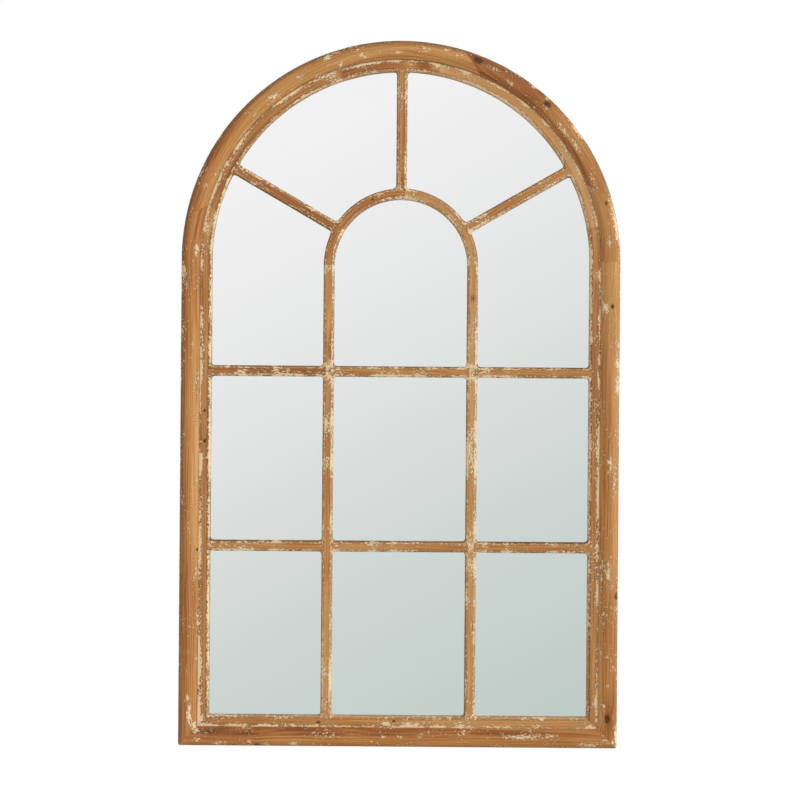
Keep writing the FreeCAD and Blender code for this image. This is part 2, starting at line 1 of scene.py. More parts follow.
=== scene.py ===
# %% [markdown]
# # An arched window mirror in old fir
# The object is a wooden window frame with a round head, laid over one mirror plate. Its wood was
# painted cream once. Most of the paint is rubbed off, and the rest lies in the hollows, on the
# edges and round the joints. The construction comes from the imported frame, and this file gives it
# its looks. Everything is in metres: +X right, +Z up, and the front faces -Y.

import json
import math
from collections import namedtuple

import bmesh
import bpy
import numpy as np
from mathutils import Matrix, Vector


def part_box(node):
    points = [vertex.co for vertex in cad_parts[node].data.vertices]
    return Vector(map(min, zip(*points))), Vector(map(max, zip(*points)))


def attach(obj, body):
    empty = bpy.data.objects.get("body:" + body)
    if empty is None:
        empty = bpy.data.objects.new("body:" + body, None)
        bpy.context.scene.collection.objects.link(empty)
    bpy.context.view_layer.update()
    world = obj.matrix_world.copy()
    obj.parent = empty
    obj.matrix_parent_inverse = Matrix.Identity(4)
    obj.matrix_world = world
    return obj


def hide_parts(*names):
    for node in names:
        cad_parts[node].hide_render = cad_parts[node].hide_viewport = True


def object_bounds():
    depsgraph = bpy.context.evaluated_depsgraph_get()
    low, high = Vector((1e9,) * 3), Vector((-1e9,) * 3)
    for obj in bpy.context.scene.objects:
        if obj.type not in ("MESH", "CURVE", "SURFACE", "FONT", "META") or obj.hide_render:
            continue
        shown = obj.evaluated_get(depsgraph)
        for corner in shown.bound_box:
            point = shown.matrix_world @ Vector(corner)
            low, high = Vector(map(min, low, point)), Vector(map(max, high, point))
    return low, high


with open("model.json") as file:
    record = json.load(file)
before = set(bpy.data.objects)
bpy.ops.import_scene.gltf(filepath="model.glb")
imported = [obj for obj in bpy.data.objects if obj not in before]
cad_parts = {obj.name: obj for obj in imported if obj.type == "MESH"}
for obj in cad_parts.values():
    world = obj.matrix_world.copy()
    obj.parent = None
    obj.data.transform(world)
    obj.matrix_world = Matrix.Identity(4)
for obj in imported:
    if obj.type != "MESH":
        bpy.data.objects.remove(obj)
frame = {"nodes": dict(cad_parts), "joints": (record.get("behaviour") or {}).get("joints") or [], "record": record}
cad_low, cad_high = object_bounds()
print("nodes", len(frame["nodes"]), "joints", [joint["name"] for joint in frame["joints"]])

# %% [markdown]
# ## Sizes
# A size that the frame already holds is read from it, so that this file can't disagree with the
# construction. `across` is used below for the distance inwards from the frame's outer edge, and
# `depth` for the distance towards the wall.

# %% Read the sizes
rail_low, rail_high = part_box("casing_bottom_rail")
sash_low, sash_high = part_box("sash_bottom_rail")
bar_low, bar_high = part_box("upright_bar_left")
board_low, board_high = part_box("backing_board")

HALF_WIDTH = cad_high.x
FRONT, BACK = rail_low.y, rail_high.y
FACE, SASH_BACK = sash_low.y, sash_high.y
BOARD_FRONT = board_low.y
ARCH_Z = cad_high.z - HALF_WIDTH
ROLL_WIDTH = rail_high.z                       # across the rounded casing
FACE_WIDTH = sash_high.z                       # roll and ledge together
LIP_START = sash_low.z                         # the sash reaches under the casing's lip to here
SIGHT_RADIUS = HALF_WIDTH - FACE_WIDTH
BOARD_CLEARANCE = 0.001                        # between the board and the wall of its rebate
SEAT_WIDTH = HALF_WIDTH - board_high.x - BOARD_CLEARANCE

BAR_WIDTH = bar_high.x - bar_low.x
BAR_X = (bar_high.x + bar_low.x) / 2           # the left bar's centre line, so it is negative
FAN_Z = bar_high.z
FAN_RADIUS = -BAR_X
ROW_HEIGHTS = {
    row: sum(corner.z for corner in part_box(f"crossbar_{row}_left")) / 2
    for row in ("lower", "upper")
}
print(f"half width {HALF_WIDTH:.4f}, springing {ARCH_Z:.4f}, bar {BAR_WIDTH:.4f}")
print("rows at", {row: round(height, 4) for row, height in ROW_HEIGHTS.items()})

# %% [markdown]
# A few sizes of the mouldings' sections are finer than a box can tell. They are the maker's own,
# written out here once, and the rounded edge's arc is worked out from them.

# %% Sizes of the sections
CROWN_ACROSS = 0.015          # outer edge to the crown of the roll
OUTER_ROUND = 0.012           # depth of the roll's outer rounding
LIP = 0.0015                  # step from the roll down to the sash
LAND = 0.0104                 # flat band along the middle of a glazing bar
NOTCH = 0.0008                # small step beside the flat band
EDGE_DROP = 0.004             # depth of the rounded edge below that step
EDGE_WIDTH = (BAR_WIDTH - LAND) / 2
EDGE_TOP, EDGE_FOOT = FACE + NOTCH, FACE + NOTCH + EDGE_DROP
EDGE_RADIUS = (EDGE_WIDTH ** 2 + EDGE_DROP ** 2) / (2 * EDGE_DROP)
EDGE_CENTRE = EDGE_TOP + EDGE_RADIUS
CORNER_ROUND = 0.006          # worn bottom corners of the frame
FILLET = 0.0055               # filler where a bar meets other wood
STEP = 0.0026                 # spacing of a length's rings
print(f"rounded edge {EDGE_WIDTH:.4f} wide, radius {EDGE_RADIUS:.4f}")

# %% [markdown]
# ## Nodes written as sums
# Both shaders and Geometry Nodes need maths. Wiring it by hand hides the formula, so a small class
# wraps an output socket and overloads the operators: writing `1 - mask` adds the Math node. Every
# other node comes from one method, which takes its type, its settings and its inputs.

# %% A socket that can be used in sums
class Wire:
    def __init__(self, tree, socket):
        self.tree = tree
        self.socket = socket

    def math(self, operation, *values):
        return add_node(self.tree, "ShaderNodeMath", {"operation": operation}, values)[0]

    def __add__(self, other):
        return self.math("ADD", self, other)

    def __sub__(self, other):
        return self.math("SUBTRACT", self, other)

    def __mul__(self, other):
        return self.math("MULTIPLY", self, other)

    def __truediv__(self, other):
        return self.math("DIVIDE", self, other)

    def __rsub__(self, other):
        return self.math("SUBTRACT", other, self)

    def __pow__(self, other):
        return self.math("POWER", self, other)

    __radd__ = __add__
    __rmul__ = __mul__

    def at_most(self, other):
        return self.math("MINIMUM", self, other)

    def at_least(self, other):
        return self.math("MAXIMUM", self, other)

    def root(self):
        return self.math("SQRT", self)

    def sine(self):
        return self.math("SINE", self)

    def rise(self, low, high):
        """0 below low and 1 above high, smooth between; low may be the larger."""
        settings = {"interpolation_type": "SMOOTHSTEP"}
        return add_node(self.tree, "ShaderNodeMapRange", settings, [self, low, high, 0.0, 1.0])[0]


# %% One method for every other node
class Outputs:
    """The outputs of a node, found by number or by name."""

    def __init__(self, tree, made):
        self.tree = tree
        self.made = made

    def __getitem__(self, key):
        return Wire(self.tree, find_socket(self.made.outputs, key))


def find_socket(sockets, key):
    if isinstance(key, int):
        return sockets[key]
    return next((found for found in sockets if found.identifier == key), None) or sockets[key]


def add_node(tree, kind, settings=None, inputs=()):
    """Adds a node: settings first, then its inputs, as values or wires, in order or by name."""
    made = tree.nodes.new(kind)
    for name, value in (settings or {}).items():
        if name == "stops":
            ramp = made.color_ramp
            while len(ramp.elements) < len(value):
                ramp.elements.new(1.0)
            for element, (position, colour) in zip(ramp.elements, value):
                element.position = position
                element.color = (*colour, 1.0)
        else:
            setattr(made, name, value)
    pairs = inputs.items() if isinstance(inputs, dict) else enumerate(inputs)
    for key, value in pairs:
        target = find_socket(made.inputs, key)
        if isinstance(value, Wire):
            tree.links.new(value.socket, target)
        else:
            target.default_value = value
    return Outputs(tree, made)


# %% [markdown]
# ## One tree for every moulding
# Each wooden length is a section swept along a path. Blender's Curve to Mesh does the sweep, but
# its ends are always square. So the tree sweeps first, only to get the rings and their attributes,
# and then sets each point itself: it looks up a guide line a little further on where the end is
# cut on a slant (`Sample Curve`), and goes across and down from there. A mitre and a scarf joint
# are then exact, on a straight length and on an arch. The same tree rounds the frame's worn bottom
# corners, widens a bar into the filler at its ends, and wears the surface: long shallow dents, and
# chips along the sharp edges. Paths are drawn flat on the floor plane and stood up at the end.

# %% Helpers for a Geometry Nodes tree
FLOAT_INPUTS = ("Start slant", "End slant", "Easing", "Start corner", "End corner", "Middle",
                "Dent", "Chip", "Seed")


def new_geometry_tree(name, sockets):
    tree = bpy.data.node_groups.new(name, "GeometryNodeTree")
    tree.interface.new_socket("Geometry", in_out="INPUT", socket_type="NodeSocketGeometry")
    tree.interface.new_socket("Geometry", in_out="OUTPUT", socket_type="NodeSocketGeometry")
    for label, kind in sockets.items():
        tree.interface.new_socket(label, in_out="INPUT", socket_type=f"NodeSocket{kind}")
    return tree


def attribute(tree, name, kind="FLOAT"):
    settings = {"data_type": kind}
    return add_node(tree, "GeometryNodeInputNamedAttribute", settings, {"Name": name})["Attribute"]


def keep_attribute(tree, geometry, name, value, kind="FLOAT_VECTOR"):
    settings = {"data_type": kind, "domain": "POINT"}
    inputs = {"Geometry": geometry, "Name": name, "Value": value}
    return add_node(tree, "GeometryNodeStoreNamedAttribute", settings, inputs)["Geometry"]


def vector_math(tree, operation, *values):
    return add_node(tree, "ShaderNodeVectorMath", {"operation": operation}, values)[0]


def scaled(tree, vector, factor):
    return add_node(tree, "ShaderNodeVectorMath", {"operation": "SCALE"},
                    {"Vector": vector, "Scale": factor})[0]


def vector(tree, x, y, z):
    return add_node(tree, "ShaderNodeCombineXYZ", {}, [x, y, z])[0]


def noise(tree, place, scale, detail=2.0, roughness=0.5):
    inputs = {"Vector": place, "Scale": scale, "Detail": detail, "Roughness": roughness}
    return add_node(tree, "ShaderNodeTexNoise", {}, inputs)["Fac"]


# %% The moulding tree
LEAD = 0.06                   # how far a guide line runs on past both ends of its length
WEAR_STRETCH = (1.0, 3.0, 7.0)                 # wear runs with the grain
DENT_SCALE, CHIP_SCALE = 14.0, 75.0
CHIP_RISE = (0.52, 0.70)      # where in the noise a chip starts, and where it is whole
UNWORN_END = 0.004            # wear fades out this near a joint, which stays closed
EASED_END, EASED_DEPTH = 0.0012, 0.00015       # sandpaper eases the edge of an end
SHARP_TURN = math.radians(38)


def drawn_curve(tree, chosen):
    """The curve of another object that was drawn as a chain of edges."""
    drawn = add_node(tree, "GeometryNodeObjectInfo", {}, {"Object": chosen})["Geometry"]
    return add_node(tree, "GeometryNodeMeshToCurve", {}, {"Mesh": drawn})["Curve"]


def corner_cut(distance, radius):
    """How far a rounded corner draws the outer edge in, at a distance from the corner."""
    inside = radius - distance.at_most(radius)
    return radius - (radius * radius - inside * inside).at_least(0.0).root()


def make_moulding_tree():
    sockets = {"Guide": "Object", "Section": "Object", "Finish": "Material"}
    sockets.update({label: "Float" for label in FLOAT_INPUTS})
    tree = new_geometry_tree("moulding", sockets)
    given = add_node(tree, "NodeGroupInput")
    path = add_node(tree, "GeometryNodeMeshToCurve", {}, {"Mesh": given["Geometry"]})["Curve"]
    guide, section = (drawn_curve(tree, given[label]) for label in ("Guide", "Section"))
    swept = add_node(tree, "GeometryNodeCurveToMesh", {},
                     {"Curve": path, "Profile Curve": section, "Fill Caps": True})["Mesh"]

    along, remaining = attribute(tree, "along"), attribute(tree, "remaining")
    across, depth = attribute(tree, "across"), attribute(tree, "depth")
    easing = given["Easing"]
    near_start = (1.0 - along / easing).at_least(0.0)
    near_end = (1.0 - remaining / easing).at_least(0.0)
    corner = given["Start corner"].at_least(given["End corner"])
    reach = across.at_least(corner * (1 - math.sqrt(0.5)))
    shift = reach * (given["Start slant"] * near_start + given["End slant"] * near_end)
    length = along + remaining
    place = along + shift
    cut = corner_cut(place, given["Start corner"])
    cut = cut.at_least(corner_cut(length - place, given["End corner"]))
    inward = across.at_least(cut)
    middle = given["Middle"]
    inward = middle + (inward - middle) * attribute(tree, "widening")

    sampled = add_node(tree, "GeometryNodeSampleCurve", {"mode": "LENGTH", "use_all_curves": True},
                       {"Curves": guide, "Length": place + LEAD})
    sideways = vector_math(tree, "CROSS_PRODUCT", sampled["Tangent"], (0.0, 0.0, 1.0))
    spot = vector_math(tree, "ADD", sampled["Position"], scaled(tree, sideways, inward))
    spot = vector_math(tree, "ADD", spot, vector(tree, 0.0, 0.0, 0.0 - depth))
    shaped = add_node(tree, "GeometryNodeSetPosition", {}, {"Geometry": swept, "Position": spot})[0]

    grain = vector(tree, place, attribute(tree, "girth"), given["Seed"])
    shaped = keep_attribute(tree, shaped, "grain", grain)
    stretched = vector_math(tree, "MULTIPLY", grain, WEAR_STRETCH)
    dents = (noise(tree, stretched, DENT_SCALE) - 1.0) * 2.0 * given["Dent"]
    chips = noise(tree, stretched, CHIP_SCALE, 3.0).rise(*CHIP_RISE)
    chips = chips * attribute(tree, "arris") * given["Chip"]
    end_distance = along.at_most(remaining)
    wear = (dents - chips) * end_distance.rise(0.0, UNWORN_END)
    end_round = (1.0 - end_distance / EASED_END).at_least(0.0) * EASED_DEPTH
    normal = add_node(tree, "GeometryNodeInputNormal")["Normal"]
    moved = scaled(tree, normal, wear - end_round)
    shaped = add_node(tree, "GeometryNodeSetPosition", {}, {"Geometry": shaped, "Offset": moved})[0]

    upright = add_node(tree, "GeometryNodeTransform", {},
                       {"Geometry": shaped, "Rotation": (math.pi / 2, 0.0, 0.0)})[0]
    bend = add_node(tree, "GeometryNodeInputMeshEdgeAngle")["Unsigned Angle"]
    sharp = bend.math("GREATER_THAN", bend, SHARP_TURN)
    smooth = add_node(tree, "GeometryNodeSetShadeSmooth", {"domain": "EDGE"},
                      {"Geometry": upright, "Selection": sharp, "Shade Smooth": False})[0]
    real = add_node(tree, "GeometryNodeRealizeInstances", {}, {"Geometry": smooth})[0]
    done = add_node(tree, "GeometryNodeSetMaterial", {},
                    {"Geometry": real, "Material": given["Finish"]})[0]
    add_node(tree, "NodeGroupOutput", {}, [done])
    return tree


moulding_tree = make_moulding_tree()
print("moulding tree:", len(moulding_tree.nodes), "nodes")

# %% [markdown]
# ## Sections
# A section is a closed loop of points. Each point also says how well it catches old paint, from 0
# on a rubbed crown to 1 in a hollow, whether it is a sharp edge that chips, and how much dark brown
# it gets. That dark brown is partly grime and partly painted shade: in the hollow at the roll's
# foot, on the outer rounding, and on the bar edges that face away from the light. A value of it
# that starts below 0 or above 1 moves the place where it begins or is full. These numbers travel
# along the sweep as attributes, and the wood's material and the wear above read them.

# %% Points of a section
Point = namedtuple("Point", "across depth catch arris grime", defaults=(0.0, 0.0))


def arc_points(start, finish, centre, catches, count, grime_and_shade_ends=(0.0, 0.0)):
    """Arc points from start to finish; catch and grime with painted shade run between two values."""
    first = math.atan2(start[1] - centre[1], start[0] - centre[0])
    last = math.atan2(finish[1] - centre[1], finish[0] - centre[0])
    turn = (last - first + math.pi) % (2 * math.pi) - math.pi
    radius = math.dist(start, centre)
    points = []
    for step in range(count + 1):
        share = step / count
        angle = first + turn * share
        catch, grime = (ends[0] + (ends[1] - ends[0]) * share for ends in (catches, grime_and_shade_ends))
        points.append(Point(centre[0] + radius * math.cos(angle),
                            centre[1] + radius * math.sin(angle), catch, 0.0, max(0.0, grime)))
    return points


def straight_points(corners, spacing=0.003):
    """Points along straight sides, with the corners' own numbers shared out between them."""
    points = []
    for first, last in zip(corners, corners[1:]):
        count = max(1, round(math.dist(first[:2], last[:2]) / spacing))
        for step in range(count):
            share = step / count
            values = [a + (b - a) * share for a, b in zip(first, last)]
            values[3] = first.arris if step == 0 else 0.0
            points.append(Point(*values))
    return points + [corners[-1]]


# %% The three sections
def casing_section():
    """The roll: outer side, outer rounding, crown, long inner fall, lip, and the rebates behind."""
    crown = (CROWN_ACROSS, FRONT)
    outer_radius = (CROWN_ACROSS ** 2 + OUTER_ROUND ** 2) / (2 * OUTER_ROUND)
    run, fall = ROLL_WIDTH - CROWN_ACROSS, FACE - LIP - FRONT
    inner_radius = (run ** 2 + fall ** 2) / (2 * fall)
    shoulder = (0.0, FRONT + OUTER_ROUND)
    foot = (ROLL_WIDTH, FACE - LIP)
    # The last number is grime and painted shade: on the outer rounding and the outer side, and on the lip at the
    # roll's foot, where the roll shades the hollow.
    roll = arc_points(shoulder, crown, (CROWN_ACROSS, FRONT + outer_radius),
                      (0.62, 0.1), 9, (1.6, -0.45))
    roll += arc_points(crown, foot, (CROWN_ACROSS, FRONT + inner_radius),
                       (0.1, 0.34), 13, (-6.0, 1.0))[1:]
    soft = 0.001
    back = straight_points([
        Point(ROLL_WIDTH, FACE - 0.0002, 1.0, 0.0, 0.6),
        Point(LIP_START, FACE - 0.0002, 0.2, 0.0),
        Point(LIP_START, BOARD_FRONT, 0.0, 0.0),
        Point(SEAT_WIDTH, BOARD_FRONT, 0.0, 0.0),
        Point(SEAT_WIDTH, BACK - soft, 0.0, 0.3),
        Point(SEAT_WIDTH - soft, BACK, 0.0, 0.3),
        Point(soft, BACK, 0.25, 0.6, 0.6),
        Point(0.0, BACK - soft, 0.45, 0.6, 0.6),
        Point(0.0, FRONT + OUTER_ROUND + 0.0015, 0.5, 0.0, 1.0),
    ])
    return roll + back


def sash_section():
    """The flat ledge, a small step, and the rounded edge beside the mirror."""
    edge = FACE_WIDTH - EDGE_WIDTH
    # The last number is grime and painted shade: in the hollow under the roll's lip, which the roll shades, and at
    # the top of the rounded edge beside the mirror.
    flat = straight_points([
        Point(LIP_START, FACE, 0.9, 0.0, 1.0),
        Point(ROLL_WIDTH - 0.0004, FACE, 0.92, 0.0, 1.0),
        Point(ROLL_WIDTH + 0.0008, FACE, 0.92, 0.0, 0.4),
        Point(ROLL_WIDTH + 0.0032, FACE, 0.7, 0.0, 0.4),
        Point(ROLL_WIDTH + 0.0058, FACE, 0.4, 0.0, 0.1),
        Point(edge - 0.0025, FACE, 0.16, 0.0),
        Point(edge, FACE, 0.45, 0.7, 1.0),
    ], 0.0022)
    rounded = arc_points((edge, EDGE_TOP), (FACE_WIDTH, EDGE_FOOT), (edge, EDGE_CENTRE),
                         (0.6, 1.0), 5, (1.0, -0.8))
    behind = straight_points([
        Point(FACE_WIDTH, EDGE_FOOT + 0.001, 0.9, 0.0),
        Point(FACE_WIDTH, SASH_BACK, 0.6, 0.0, 0.4),
        Point(LIP_START, SASH_BACK, 0.0, 0.0),
    ])
    return flat + rounded + behind


def bar_section():
    """A flat band with the sash's edge on both sides; across runs from 0 to the bar's width."""
    left, right = EDGE_WIDTH, BAR_WIDTH - EDGE_WIDTH
    # The last number is grime and painted shade along both edges, most on the rounded edge at across 0, the left
    # of an upright and the top of a crossbar, which faces away from the light.
    band = straight_points([
        Point(left, FACE, 0.55, 0.6, 0.9),
        Point(left + 0.0012, FACE, 0.25),
        Point(right - 0.0012, FACE, 0.25),
        Point(right, FACE, 0.45, 0.6, 1.3),
    ], 0.0018)
    right_edge = arc_points((right, EDGE_TOP), (BAR_WIDTH, EDGE_FOOT), (right, EDGE_CENTRE),
                            (0.97, 0.76), 5, (0.2, 1.0))
    left_edge = arc_points((0.0, EDGE_FOOT), (left, EDGE_TOP), (left, EDGE_CENTRE),
                           (0.2, 1.0), 5, (2.6, -1.2))
    behind = straight_points([
        Point(BAR_WIDTH, EDGE_FOOT + 0.001, 0.7, 0.0, 0.4),
        Point(BAR_WIDTH, SASH_BACK, 0.3, 0.0, 1.0),
        Point(0.0, SASH_BACK, 0.3, 0.0, 1.0),
        Point(0.0, EDGE_FOOT + 0.001, 0.7, 0.0, 0.4),
    ])
    return band + right_edge + behind + left_edge


# %% Draw each section as a loop of edges with attributes
def add_point_values(mesh, name, values):
    data = mesh.attributes.new(name, "FLOAT", "POINT").data
    data.foreach_set("value", np.array(values, np.float32))


def draw_section(name, points):
    mesh = bpy.data.meshes.new(name)
    count = len(points)
    edges = [(index, (index + 1) % count) for index in range(count)]
    mesh.from_pydata([(point.across, point.depth, 0.0) for point in points], edges, [])
    for value in Point._fields:
        add_point_values(mesh, value, [getattr(point, value) for point in points])
    steps = [math.dist(points[a][:2], points[b][:2]) for a, b in edges]
    girth = np.concatenate([[0.0], np.cumsum(steps)[:-1]])
    add_point_values(mesh, "girth", girth)
    print(name, count, "points, girth", round(sum(steps), 4))
    return bpy.data.objects.new(name, mesh)


sections = {
    "casing": draw_section("casing_section", casing_section()),
    "sash": draw_section("sash_section", sash_section()),
    "bar": draw_section("bar_section", bar_section()),
}

# %% [markdown]
# ## Old fir with cream paint
# Fir is honey brown with redder, darker late wood in long streaks. The `grain` attribute runs with
# the wood: its first number is metres along the length, its second metres round the section, and
# its third tells the pieces apart. Noise that is squeezed along the first number gives streaks that
# follow an arch as well as a straight.
#
# The paint is a second layer with its own colour, roughness and thickness. It shows where a ragged
# noise, the place's catch and the piece's own patches are together high enough. Round it lies a
# dark rim, partly dirt and partly painted shadow of the paint's edge; thin paint gives the wood
# beside it a pale wash, and the thickest patches are crazed with cracks. A dark brown is painted
# on the shaded side of each moulding, partly grime and partly painted shade, more on some pieces
# than on others.

# %% Colours of the wood and the paint
DARK_STREAK = (0.170, 0.062, 0.018)
RED_WOOD = (0.365, 0.120, 0.029)
HONEY = (0.515, 0.230, 0.064)
PALE_WOOD = (0.700, 0.385, 0.145)
KNOT = (0.080, 0.027, 0.010)
# The dark brown of grime and of painted shade in hollows and on sides that face away from the light; the rim round
# the paint and the cracks use it too.
GRIME_AND_SHADE = (0.120, 0.066, 0.035)
CREAM = (0.900, 0.735, 0.480)
OLD_CREAM = (0.780, 0.550, 0.305)
WASH = (0.690, 0.450, 0.225)


def new_material(name):
    material = bpy.data.materials.new(name)
    material.use_nodes = True
    material.node_tree.nodes.clear()
    return material, material.node_tree


def finish_material(tree, **sockets):
    """The Principled shader and the output; sockets are named with _ for a space."""
    inputs = {name.replace("_", " "): value for name, value in sockets.items()}
    shader = add_node(tree, "ShaderNodeBsdfPrincipled", {}, inputs)["BSDF"]
    add_node(tree, "ShaderNodeOutputMaterial", {}, {"Surface": shader})


def mixed(tree, factor, first, second):
    inputs = {"Factor_Float": factor, "A_Color": first, "B_Color": second}
    return add_node(tree, "ShaderNodeMix", {"data_type": "RGBA"}, inputs)["Result_Color"]


def colour(values):
    return (*values, 1.0)


def bumped(tree, height, distance):
    return add_node(tree, "ShaderNodeBump", {}, {"Height": height, "Distance": distance})["Normal"]


# %% The wood's material
def mesh_value(tree, name, output="Fac"):
    return add_node(tree, "ShaderNodeAttribute", {"attribute_name": name})[output]


def make_old_fir():
    material, tree = new_material("old_fir")
    grain = mesh_value(tree, "grain", "Vector")

    def along_grain(lengthways, sideways):
        return vector_math(tree, "MULTIPLY", grain, (lengthways, sideways, 31.7))

    tone, knot = mesh_value(tree, "tone"), mesh_value(tree, "knot")
    catch, patch = mesh_value(tree, "catch"), mesh_value(tree, "patch")
    # Grime and painted shade: the section's value, scaled by how much of it this piece gets.
    soiling = mesh_value(tree, "soiling")
    grime = mesh_value(tree, "grime") * soiling

    broad = noise(tree, along_grain(2.4, 34.0), 1.0, 2.0)
    fine = noise(tree, along_grain(9.0, 520.0), 1.0, 3.0, 0.6)
    drift = noise(tree, along_grain(3.2, 26.0), 1.0, 2.0)
    split = add_node(tree, "ShaderNodeSeparateXYZ", {}, [grain])
    rings = ((split["Y"] * 1150.0 + drift * 52.0).sine() * 0.5 + 0.5) ** 3.0
    hue = tone + (broad - 0.5) * 1.0 + (fine - 0.5) * 0.95 - (rings - 0.31) * 0.14
    wood = add_node(tree, "ShaderNodeValToRGB", {"stops": [
        (0.0, DARK_STREAK), (0.26, RED_WOOD), (0.50, HONEY), (0.90, PALE_WOOD)]}, [hue])["Color"]
    ragged = noise(tree, along_grain(205.0, 340.0), 1.0, 3.0, 0.6)
    dark = (knot + (ragged - 0.5) * 1.1).rise(0.2, 0.75) * knot.rise(0.02, 0.2)
    wood = mixed(tree, dark, wood, colour(KNOT))

    clusters = noise(tree, along_grain(20.0, 48.0), 1.0, 2.0)
    flakes = noise(tree, along_grain(210.0, 430.0), 1.0, 2.0)
    level = ragged + catch * 0.235 + patch * 0.165 + (clusters - 0.5) * 0.55
    remains = level.rise(0.735, 0.75)
    specks = (flakes + clusters * 0.34 + catch * 0.05).rise(0.885, 0.90)
    paint = remains.at_least(specks)
    crack = add_node(tree, "ShaderNodeTexVoronoi", {"feature": "DISTANCE_TO_EDGE"},
                     {"Vector": along_grain(200.0, 215.0), "Scale": 1.0})["Distance"]
    cracked = (1.0 - (crack + (fine - 0.5) * 0.14).rise(0.03, 0.10)) * patch.rise(1.55, 1.75)
    paint = paint * (1.0 - cracked)
    # A dark rim round the paint and dark specks in the hollow beside it, each partly dirt and partly painted
    # shadow of the paint's edge.
    rim_dirt_and_shadow = level.rise(0.66, 0.725) * (0.22 + catch * 0.4)
    crumbs_and_shadow = (flakes + (clusters - 0.5) * 0.4).rise(0.55, 0.60) * catch.rise(0.7, 0.9)
    # The darkening holds grime and painted shade, the rim and specks round the paint, and dark cracks.
    grime_and_shade_mask = (grime * (flakes.rise(0.4, 0.6) * 0.5 + clusters)).at_least(crumbs_and_shadow * 0.7)
    grime_and_shade_mask = grime_and_shade_mask.at_least(rim_dirt_and_shadow).at_least(cracked * 0.7).at_most(0.9)
    wash = patch * 0.25 * clusters + catch.rise(0.6, 0.95) * (0.7 - soiling * 0.5)

    # The wood gets the pale wash, then the dark brown of grime, painted shade and the paint's rim, then the paint.
    wood_layers = mixed(tree, wash.at_most(0.7), wood, colour(WASH))
    wood_layers = mixed(tree, grime_and_shade_mask, wood_layers, colour(GRIME_AND_SHADE))
    cream = mixed(tree, fine, colour(CREAM), colour(OLD_CREAM))
    surface = mixed(tree, paint, wood_layers, cream)
    height = paint * 0.6 + fine * 0.16 + rings * 0.06 - knot * 0.3
    finish_material(tree, Base_Color=surface, Roughness=0.56 + paint * 0.16 - rings * 0.05,
                    Specular_IOR_Level=0.16, Normal=bumped(tree, height, 0.0006))
    return material


old_fir = make_old_fir()
print(old_fir.name, "has", len(old_fir.node_tree.nodes), "nodes")

# %% [markdown]
# ## Paths
# A path is a chain of straight runs and arcs, given as a function from distance to a point of the
# drawing. Rings lie closer together at the ends, where joints, mitres and filler need them.

# %% Runs and arcs
Run = namedtuple("Run", "length place")


def straight(start, finish):
    def place(distance):
        share = distance / math.dist(start, finish)
        return tuple(a + (b - a) * share for a, b in zip(start, finish))
    return Run(math.dist(start, finish), place)


def arch(radius, centre_z, start, finish):
    """An arc over the top, clockwise; start and finish are degrees from the crown."""
    span = math.radians(finish - start)

    def place(distance):
        angle = math.radians(start) + span * distance / (radius * span)
        return radius * math.sin(angle), centre_z + radius * math.cos(angle)
    return Run(radius * span, place)


def ring_places(length):
    """Distances of the rings: close at both ends, even between."""
    ends = np.array([0.0, 0.0005, 0.0013, 0.0024, 0.0036, 0.0048, 0.0056, 0.0066, 0.0078, 0.0092])
    count = max(2, round((length - 0.02) / STEP))
    between = np.linspace(ends[-1], length - ends[-1], count)
    return np.concatenate([ends[:-1], between, (length - ends[:-1])[::-1]])


def points_at(runs, distances):
    """Points of the flat drawing; the first and last run carry on past their ends."""
    points = []
    for distance in distances:
        for run in runs:
            if distance <= run.length or run is runs[-1]:
                points.append((*run.place(distance), 0.0))
                break
            distance -= run.length
    return points


def draw_chain(name, points):
    mesh = bpy.data.meshes.new(name)
    mesh.from_pydata(points, [(index, index + 1) for index in range(len(points) - 1)], [])
    return mesh


# %% [markdown]
# ## Making a length of moulding
# A length needs its path, its section, the cut of its ends, and what makes it an individual piece
# of wood: a seed, its tone along the way, its knots, where more paint is left, and how much grime
# and painted shade it gets. A tone of 0.5 is the wood's usual honey, and lower is darker and
# redder. A patch of paint covers the whole section, and a mark is a small area of it: a fleck of
# paint, a dark streak, a filled block, or paler or darker wood, which is a stain on some pieces and
# painted light and shade on others.

# %% Words that describe a length
Cut = namedtuple("Cut", "slant corner filler", defaults=(0.0, 0.0, False))
SQUARE = Cut()
MITRE_START = Cut(1.0, CORNER_ROUND)
MITRE_END = Cut(-1.0, CORNER_ROUND)
SASH_MITRE_START = Cut(1.0)
SASH_MITRE_END = Cut(-1.0)
FILLED = Cut(filler=True)

Knot = namedtuple("Knot", "along across size")
Mark = namedtuple("Mark", "along across length width paint tone", defaults=(0.0045, 1.5, 0.0))
LONGEST_EASING = 0.12         # how far a slanted end reaches into its length
DENT_DEPTH, CHIP_DEPTH = 0.00022, 0.0009
mouldings = []
print("kinds of end:", SQUARE, MITRE_START, FILLED)

# %% [markdown]
# The modifier's inputs are set by their sockets' identifiers, and its result is taken from the
# evaluated object as a plain mesh. A sweep can turn a shape inside out, depending on which way its
# loop runs, so the sign of the mesh's volume is looked at, and the faces are flipped if need be.

# %% Helpers for a swept length
def filler_widening(distance):
    """The filler's share of half the bar's width, at a distance from the bar's end."""
    clear = np.clip(distance - EDGE_WIDTH, 0.0, FILLET)
    extra = FILLET - np.sqrt(FILLET ** 2 - (FILLET - clear) ** 2)
    return extra / (BAR_WIDTH / 2)


def spread(values, fractions):
    """Values at fractions of the length, from pairs given in order."""
    places, numbers = zip(*values)
    return np.interp(fractions, places, numbers)


def set_inputs(modifier, values):
    sockets = {item.name: item.identifier for item in modifier.node_group.interface.items_tree}
    for label, value in values.items():
        modifier[sockets[label]] = value


